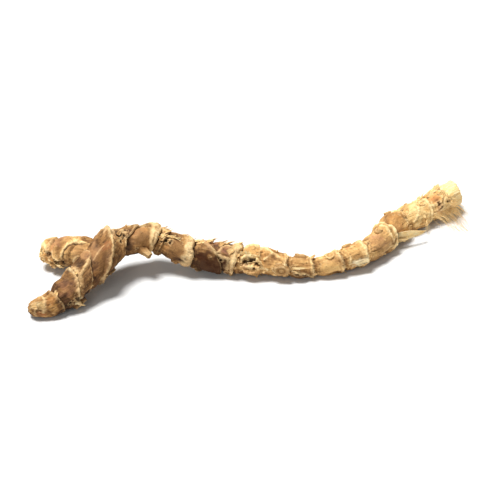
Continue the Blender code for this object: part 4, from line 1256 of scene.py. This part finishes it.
def barkColour(streaks, fineStreaks, mottle, specks):
    # tone picks the brown; then stain, rim (cream bands and pale lines, with some painted highlight), pith,
    # gap (painted shade) and dark specks are laid over it in turn
    tone = readLook("tone")
    for texture, strength in zip((streaks, fineStreaks, mottle, specks), barkLook["toneShares"]):
        lowered = maths("SUBTRACT", tone, strength / 2)
        tone = maths("MULTIPLY_ADD", texture, strength, lowered, clamp=texture is specks)
    base = ramp(tone, barkLook["tones"])
    stain = addNode("ShaderNodeAttribute", attribute_name="stain").outputs
    stainAmount = maths("MULTIPLY", stain["Alpha"], remap(mottle, 0.3, 0.62, 0.45, 1.1))
    base = blend(stainAmount, base, stain["Color"])
    rimAmount = maths("MULTIPLY", readLook("rim"), remap(mottle, 0.3, 0.6, 0.35, 1), clamp=True)
    dullRim, brightRim = ramp(fineStreaks, barkLook["dullRim"]), ramp(fineStreaks, barkLook["brightRim"])
    base = blend(rimAmount, base, blend(remap(readLook("tone"), 0.45, 0.8), dullRim, brightRim))
    base = blend(readLook("pith"), base, ramp(streaks, barkLook["pith"]))
    gapAmount = maths("MULTIPLY", readLook("gap"), remap(fineStreaks, 0.2, 0.7, 1.1, 0.8), clamp=True)
    base = blend(maths("POWER", gapAmount, 1.3), base, colour(barkLook["gap"]))
    return blend(remap(specks, 0.3, 0.38, 0.42, 0), base, colour(barkLook["speck"]))


def finishBark():
    place = addNode("ShaderNodeTexCoord").outputs["Object"]
    straight = readLook("straight", "Vector")
    streaks = noiseNode(stretched(straight, barkLook["streakScale"]), *barkLook["streaks"])
    fineStreaks = noiseNode(stretched(straight, barkLook["fineStreakScale"]), *barkLook["fineStreaks"])
    mottle = noiseNode(place, *barkLook["mottle"])
    specks = noiseNode(place, *barkLook["specks"])
    shader = barkTree.nodes["Principled BSDF"]
    shader.inputs["Specular IOR Level"].default_value = barkLook["specular"]
    barkTree.links.new(barkColour(streaks, fineStreaks, mottle, specks), shader.inputs["Base Color"])
    barkTree.links.new(remap(mottle, 0.3, 0.7, *barkLook["roughness"]), shader.inputs["Roughness"])
    streaked = bump(*barkLook["streakBump"], fineStreaks)
    relieved = bump(*barkLook["speckBump"], specks, Normal=streaked)
    barkTree.links.new(relieved, shader.inputs["Normal"])


finishBark()
for piece in (rhizome, armSkin, rootScars, leafScales, skinShreds, dryFibres):
    piece.data.materials.clear()
    piece.data.materials.append(bark)
    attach(piece, "root")
    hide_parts("rhizome")


# Floor, light and camera
studio = {
    "cameraAt": (-4.9, -302.7, 197.9),
    "aimAt": (-3.4, -1.3, 4),
    "lens": 94.5,
    "sensor": 36,
    # from here in metres; lights are place, size and power, far off, so that the floor is lit evenly
    "nearest": 0.01,
    "lights": {"overhead": ((-0.8, 0.3, 2.9), 1.2, 150), "front": ((-1, -2.4, 1.6), 1.6, 15)},
    "skyStrength": 0.22,
    "paper": (0.74, 0.74, 0.73, 1),
    "paperRoughness": 0.9,
    "paperSize": 6,
    "paperBelow": 0.00002,
}


def lookTowards(thing, target):
    thing.rotation_euler = (Vector(target) - thing.location).to_track_quat("-Z", "Y").to_euler()


bpy.ops.object.select_all(action="DESELECT")
bpy.ops.mesh.primitive_plane_add(size=studio["paperSize"], location=(0, 0, -studio["paperBelow"]))
floor = bpy.context.object
floor.name = "floor"
paper = bpy.data.materials.new("whitePaper")
paper.use_nodes = True
paperShader = paper.node_tree.nodes["Principled BSDF"]
paperShader.inputs["Base Color"].default_value = studio["paper"]
paperShader.inputs["Roughness"].default_value = studio["paperRoughness"]
floor.data.materials.append(paper)

for name, (place, size, power) in studio["lights"].items():
    lamp = bpy.data.lights.new(name, "AREA")
    lamp.shape = "DISK"
    lamp.size = size
    lamp.energy = power
    lookTowards(addToScene(name, lamp, place), (0, 0, 0))
world = bpy.data.worlds.new("studio")
world.use_nodes = True
sky = world.node_tree.nodes["Background"]
sky.inputs["Color"].default_value = (1, 1, 1, 1)
sky.inputs["Strength"].default_value = studio["skyStrength"]
scene = bpy.context.scene
scene.world = world
scene.view_settings.view_transform = "Standard"

lens = bpy.data.cameras.new("camera")
lens.lens = studio["lens"]
lens.sensor_width = studio["sensor"]
lens.clip_start = studio["nearest"]
camera = addToScene("camera", lens, Vector(studio["cameraAt"]) * mm)
lookTowards(camera, Vector(studio["aimAt"]) * mm)
scene.camera = camera
print("floor, light and camera")
